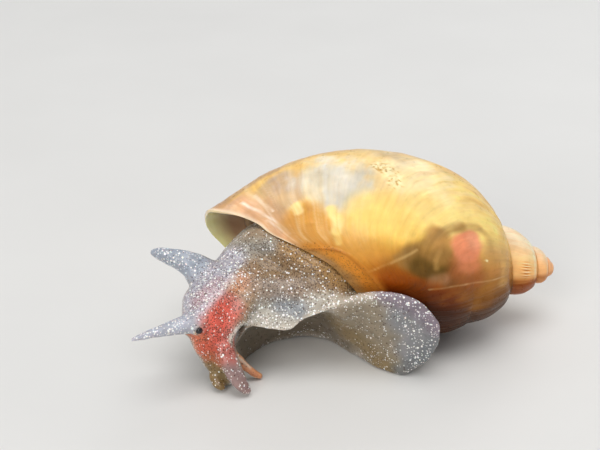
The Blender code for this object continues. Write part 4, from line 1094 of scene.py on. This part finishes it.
def loftFaces(points, sides):  # quads between the rings and a cap on each end
    count = len(points) // sides
    faces = []
    for i in range(count - 1):
        for j in range(sides):
            k = (j + 1) % sides
            faces.append((i * sides + j, i * sides + k, (i + 1) * sides + k, (i + 1) * sides + j))
    faces.append(tuple(range(sides))[::-1])
    faces.append(tuple((count - 1) * sides + j for j in range(sides)))
    return np.array(points), faces


def limbMesh(keys, rings, sides):  # a tube through the keys, with rounded ends
    rows = evenCurve([(*key, 0)[:6] for key in keys], rings)
    path = rows[:, :3]
    tangent = np.gradient(path, axis=0)
    tangent /= np.linalg.norm(tangent, axis=1)[:, None]
    side = np.cross(tangent, up)
    side /= np.maximum(np.linalg.norm(side, axis=1), 1e-6)[:, None]
    lift = np.cross(side, tangent)
    roll = np.radians(rows[:, 5])[:, None]
    side, lift = np.cos(roll) * side + np.sin(roll) * lift, np.cos(roll) * lift - np.sin(roll) * side
    around = np.linspace(0, 2 * np.pi, sides, endpoint=False)[:, None]

    def ring(i, narrow=1.0, depth=0.0):
        across = rows[i, 3] * np.cos(around) * side[i] + rows[i, 4] * np.sin(around) * lift[i]
        return path[i] + depth * tangent[i] + narrow * across

    def capDepth(i, narrow):
        return 0.8 * min(rows[i, 3], rows[i, 4]) * np.sqrt(1 - narrow**2)

    capRings = (0.02, 0.15, 0.4, 0.7)   # share of the limb's width
    points = [ring(0, narrow, -capDepth(0, narrow)) for narrow in capRings]
    points += [ring(i) for i in range(rings)]
    points += [ring(-1, narrow, capDepth(-1, narrow)) for narrow in reversed(capRings)]
    return loftFaces(np.vstack(points), sides)


def footMesh(rings, sides):
    points = []
    for x, ny, nz, ry, rz, ty, tz, fy, fz, sy, sz in evenCurve(footStations, rings):
        lift = min(0.5, max(0.0, (-5.5 - x) / 4.0))   # the flank is fuller under the neck
        tuck = fade(x, -6.2, -8.2)                    # and its rim is a thin overhanging edge
        corners = [
            (ny, nz),
            (ny + 0.45 * (ry - ny) - 0.1 + 0.9 * tuck, nz + 0.45 * (rz - nz) + 0.5 * tuck),
            (ry - 0.05 + 0.75 * tuck, rz - 0.5 + 0.15 * tuck),
            (ry + 0.03 * tuck, rz - 0.1),
            (ry + 0.25 - 0.05 * tuck, rz + 0.05),
            (ry + 0.75, rz - 0.35 + 1.4 * lift),
            (0.5 * (ry + ty), 0.5 * (rz + tz) - 0.1 + 1.8 * lift),
            (ty, tz),
            (0.5 * (ty + fy), 0.5 * (tz + fz) + 0.5),
            (fy, fz),
            (sy, sz),
            (0.5 * (sy + ny), 0.5 * (sz + nz)),
        ]
        for y, z in evenCurve(corners + corners[:1], sides + 1)[:-1]:
            points.append((x, y, max(0.0, z)))
    return loftFaces(points, sides)


def neighbourMean(mesh):  # a function that averages values over each point's neighbours
    edges = np.empty(len(mesh.edges) * 2, int)
    mesh.edges.foreach_get("vertices", edges)
    a, b = edges.reshape(-1, 2).T
    count = len(mesh.vertices)
    degree = np.bincount(a, minlength=count) + np.bincount(b, minlength=count)

    def mean(values):
        out = np.empty_like(values)
        for axis in range(values.shape[1]):
            out[:, axis] = (np.bincount(a, values[b, axis], count) + np.bincount(b, values[a, axis], count))
        return out / degree[:, None]
    return mean


def joinLofts():  # all limbs and the foot, fused by a voxel remesh
    lofts = [limbMesh(keys, skinShape["limbRings"], skinShape["limbSides"]) for keys in limbs.values()]
    lofts.append(footMesh(skinShape["footRings"], skinShape["footSides"]))
    allPoints = []
    allFaces = []
    total = 0
    for points, faces in lofts:
        allPoints.append(points)
        allFaces += [tuple(v + total for v in f) for f in faces]
        total += len(points)
    skin = meshFrom("skin", np.vstack(allPoints), allFaces)
    remesh = skin.modifiers.new("joined", "REMESH")
    remesh.mode = "VOXEL"
    remesh.voxel_size = skinShape["voxel"]
    applyModifiers(skin)
    return skin


def smoothSkin(mesh):
    mean = neighbourMean(mesh)
    points = readMesh(mesh, "co")
    crisp = nearAny(points, crispLines)
    pace = 0.6 * (1 - 0.93 * crisp)[:, None]
    for i in range(skinShape["smoothing"]):
        points = points + pace * (mean(points) - points)
    pace = 0.8 * (nearAny(points, evenLines) * (1 - crisp))[:, None]
    for i in range(skinShape["evenSmoothing"]):
        points = points + pace * (mean(points) - points)
    setPoints(mesh, points)
    return points


def skinHeights(points):
    height = 0.02 * lumps(points, 0.5, 2) + 0.07 * lumps(points, 1.9)
    for rise, width, line in skinRelief:
        height += rise * np.exp(-(lineDistance(points, line) / width)**2)
    for eye in (nearEye, farEye):
        fromRing = np.linalg.norm(points - eye, axis=1) - skinShape["eyeRingRadius"]
        height += skinShape["eyeRing"] * np.exp(-(fromRing / skinShape["eyeRingWidth"])**2)
    return height


def paintSkin(mesh, points):
    wander = points + 0.16 * np.column_stack([lumps(points + 30 * k, 1.2) for k in (1, 2, 3)])
    tone = np.tile(skinShape["tone"], (len(points), 1))
    for colour, strength, width, soft, line in skinMarks:
        place = points if width < 0.2 else wander   # fine lines don't wander
        tone = laid(tone, colour, strength * nearLine(place, line, width, soft))
    spread = np.tile(skinShape["specks"], (len(points), 1))
    for *amounts, reach, soft, line in speckMarks:
        spread = laid(spread, amounts, nearLine(wander, line, reach, soft))
    storeColour(mesh, "tint", tone * (1 + 0.05 * lumps(points, 0.5, 2))[:, None])
    storeValues(mesh, "specks", spread)


def buildSkin():
    skin = joinLofts()
    points = smoothSkin(skin.data)
    points = points + readMesh(skin.data, "normal") * skinHeights(points)[:, None]
    points[:, 2] = np.maximum(points[:, 2], 0.0)
    setPoints(skin.data, toFrame(points))
    paintSkin(skin.data, points)
    shadeSmooth(skin)
    skin.data.materials.append(snailSkin())
    print("skin built,", len(skin.data.polygons), "faces")
    return skin


def snailSkin():
    mat, tree, shader = newMaterial("snailSkin", {
        "Roughness": 0.3, "Subsurface Weight": 0.6, "Subsurface Radius": (1.0, 0.7, 0.55),
        "Subsurface Scale": 0.0007, "Coat Weight": 0.3, "Coat Roughness": 0.14, "IOR": 1.36,
    })
    place = places(tree)
    cloud = noise(tree, place, 2200.0, 4.0)
    spread = node(tree, "ShaderNodeSeparateXYZ", {"Vector": painted(tree, "specks", "Vector")}).outputs

    def layer(axis, share, perMetre, size, soft):  # one layer of specks; its density is painted
        return specks(tree, place, perMetre, maths(tree, "MULTIPLY", spread[axis], share), size, soft)

    dark = maths(tree, "MAXIMUM", layer("Z", 1.0, 8600.0, 0.6, 0.2), layer("Z", 0.6, 6100.0, 0.42, 0.15))
    dust = maths(tree, "MULTIPLY", layer("Y", 0.85, 7000.0, 0.42, 0.14), 0.8)
    large = maths(tree, "MAXIMUM", layer("X", 0.9, 3500.0, 0.33, 0.08), layer("X", 0.75, 4700.0, 0.34, 0.1))
    white = maths(tree, "MAXIMUM", large, dust)
    tint = mixed(tree, 1.0, painted(tree, "tint"), ranged(tree, cloud, 0.3, 0.7, 0.92, 1.08), "MULTIPLY")
    tint = mixed(tree, maths(tree, "MULTIPLY", dark, 0.74), tint, shown(0.27, 0.17, 0.11))
    tint = mixed(tree, maths(tree, "MULTIPLY", white, 0.95), tint, shown(0.99, 0.985, 0.97))
    tree.links.new(tint, shader.inputs["Base Color"])
    tree.links.new(ranged(tree, cloud, 0.3, 0.7, 0.24, 0.42), shader.inputs["Roughness"])
    height = maths(tree, "ADD", maths(tree, "MULTIPLY", white, 0.5), maths(tree, "MULTIPLY", cloud, 0.8))
    setBump(tree, shader, height, 0.6, 0.00005)
    return mat


# Eyes
eyeShape = {
    "radius": 0.265,
    "flatness": 0.9,
    "segments": 48,
    "rings": 32,
    "nearFacing": (-0.6, -0.75, 0.2),
    "farFacing": (-0.5, 0.3, 0.75),
}


def buildEye(name, centre, facing):
    outward = unit(facing)
    side = unit(np.cross(outward, up))
    lift = np.cross(side, outward)
    points = []
    pole = 0.02   # the rings stop just short of the poles
    for t in np.linspace(pole, np.pi - pole, eyeShape["rings"]):
        for a in np.linspace(0, 2 * np.pi, eyeShape["segments"], endpoint=False):
            across = np.cos(a) * side + np.sin(a) * lift
            local = np.cos(t) * eyeShape["flatness"] * outward + np.sin(t) * across
            points.append(centre + eyeShape["radius"] * local)
    points, faces = loftFaces(points, eyeShape["segments"])
    eye = meshFrom(name, toFrame(points), faces)
    shadeSmooth(eye)
    print(name, "built")
    return eye


def eyeGlass():
    mat, tree, shader = newMaterial("eyeGlass", {
        "Roughness": 0.08, "Coat Weight": 0.3, "Coat Roughness": 0.03, "IOR": 1.4,
    })
    cloud = noise(tree, places(tree), 5000.0, 2.0)
    ramp = node(tree, "ShaderNodeValToRGB", {"Fac": cloud})
    dark, pale = ramp.color_ramp.elements
    dark.color = (0.004, 0.003, 0.004, 1)
    pale.color = (0.03, 0.02, 0.025, 1)
    tree.links.new(ramp.outputs["Color"], shader.inputs["Base Color"])
    tree.links.new(ranged(tree, cloud, 0.3, 0.7, 0.05, 0.16), shader.inputs["Roughness"])
    return mat


# Studio
camera = {  # place and target in the layout's millimetres
    "place": (-9.2857, -98.9996, 54.0769),
    "target": (-9.2857, 0.6943, 7.5889),
    "lens": 92.4,
    "sensor": 36.0,
    "clip": (0.002, 10.0),
}
lights = [  # name; place, target and size in metres; watts, colour
    ("overhead", (0.02, -0.05, 0.45), (0, 0, 0), 0.40, 1.05, (1.0, 0.99, 0.97)),
    ("window", (-0.22, -0.42, 0.26), (0, 0, 0.005), 0.32, 1.2, (1.0, 0.98, 0.95)),
    ("back", (0.15, 0.40, 0.25), (0, 0, 0.005), 0.25, 0.35, (0.97, 0.98, 1.0)),
]
room = {
    "colour": (0.90, 0.93, 0.97, 1),
    "strength": 0.45,
    "floorReach": 2.0,
    "floorTones": ((0.70, 0.69, 0.67, 1), (0.76, 0.75, 0.73, 1)),
}


def aim(piece, place, target):
    piece.location = Vector(place)
    piece.rotation_euler = (Vector(target) - Vector(place)).to_track_quat("-Z", "Y").to_euler()


def buildCamera():
    lens = bpy.data.cameras.new("camera")
    lens.sensor_width = camera["sensor"]
    lens.lens = camera["lens"]
    lens.clip_start, lens.clip_end = camera["clip"]
    eye = bpy.data.objects.new("camera", lens)
    bpy.context.scene.collection.objects.link(eye)
    aim(eye, toFrame(camera["place"]), toFrame(camera["target"]))
    bpy.context.scene.camera = eye


def buildLights():
    for name, place, target, size, watts, colour in lights:
        lamp = bpy.data.lights.new(name, "AREA")
        lamp.shape = "DISK"
        lamp.size = size
        lamp.energy = watts
        lamp.color = colour
        holder = bpy.data.objects.new(name, lamp)
        bpy.context.scene.collection.objects.link(holder)
        aim(holder, place, target)


def buildRoom():
    world = bpy.data.worlds.new("paleRoom")
    world.use_nodes = True
    background = world.node_tree.nodes["Background"]
    background.inputs["Color"].default_value = room["colour"]
    background.inputs["Strength"].default_value = room["strength"]
    bpy.context.scene.world = world
    bpy.context.scene.view_settings.view_transform = "Standard"
    far = room["floorReach"]
    corners = [(-far, -far, 0), (far, -far, 0), (far, far, 0), (-far, far, 0)]
    floor = meshFrom("floor", corners, [(0, 1, 2, 3)])
    mat, tree, shader = newMaterial("paleFloor", {"Roughness": 0.6})
    grain = noise(tree, places(tree), 60.0, 3.0)
    tree.links.new(mixed(tree, grain, *room["floorTones"]), shader.inputs["Base Color"])
    floor.data.materials.append(mat)
    print("studio set")


shell = buildShell()
mantle = buildMantle()
skin = buildSkin()
glass = eyeGlass()
leftEye = buildEye("eyeLeft", nearEye, eyeShape["nearFacing"])
rightEye = buildEye("eyeRight", farEye, eyeShape["farFacing"])
for eye in (leftEye, rightEye):
    eye.data.materials.append(glass)
buildCamera()
buildLights()
buildRoom()

for piece in (shell, mantle, skin, leftEye, rightEye):
    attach(piece, "root")
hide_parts("shell_spire", "shell_body_whorl", "shell_lip")
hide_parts("head", "neck", "tentacle_left", "tentacle_right", "oral_lobe_left", "oral_lobe_right",
            "mouth", "foot_corner", "foot_front", "foot_middle", "foot_tail")
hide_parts("eye_left")
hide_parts("eye_right")
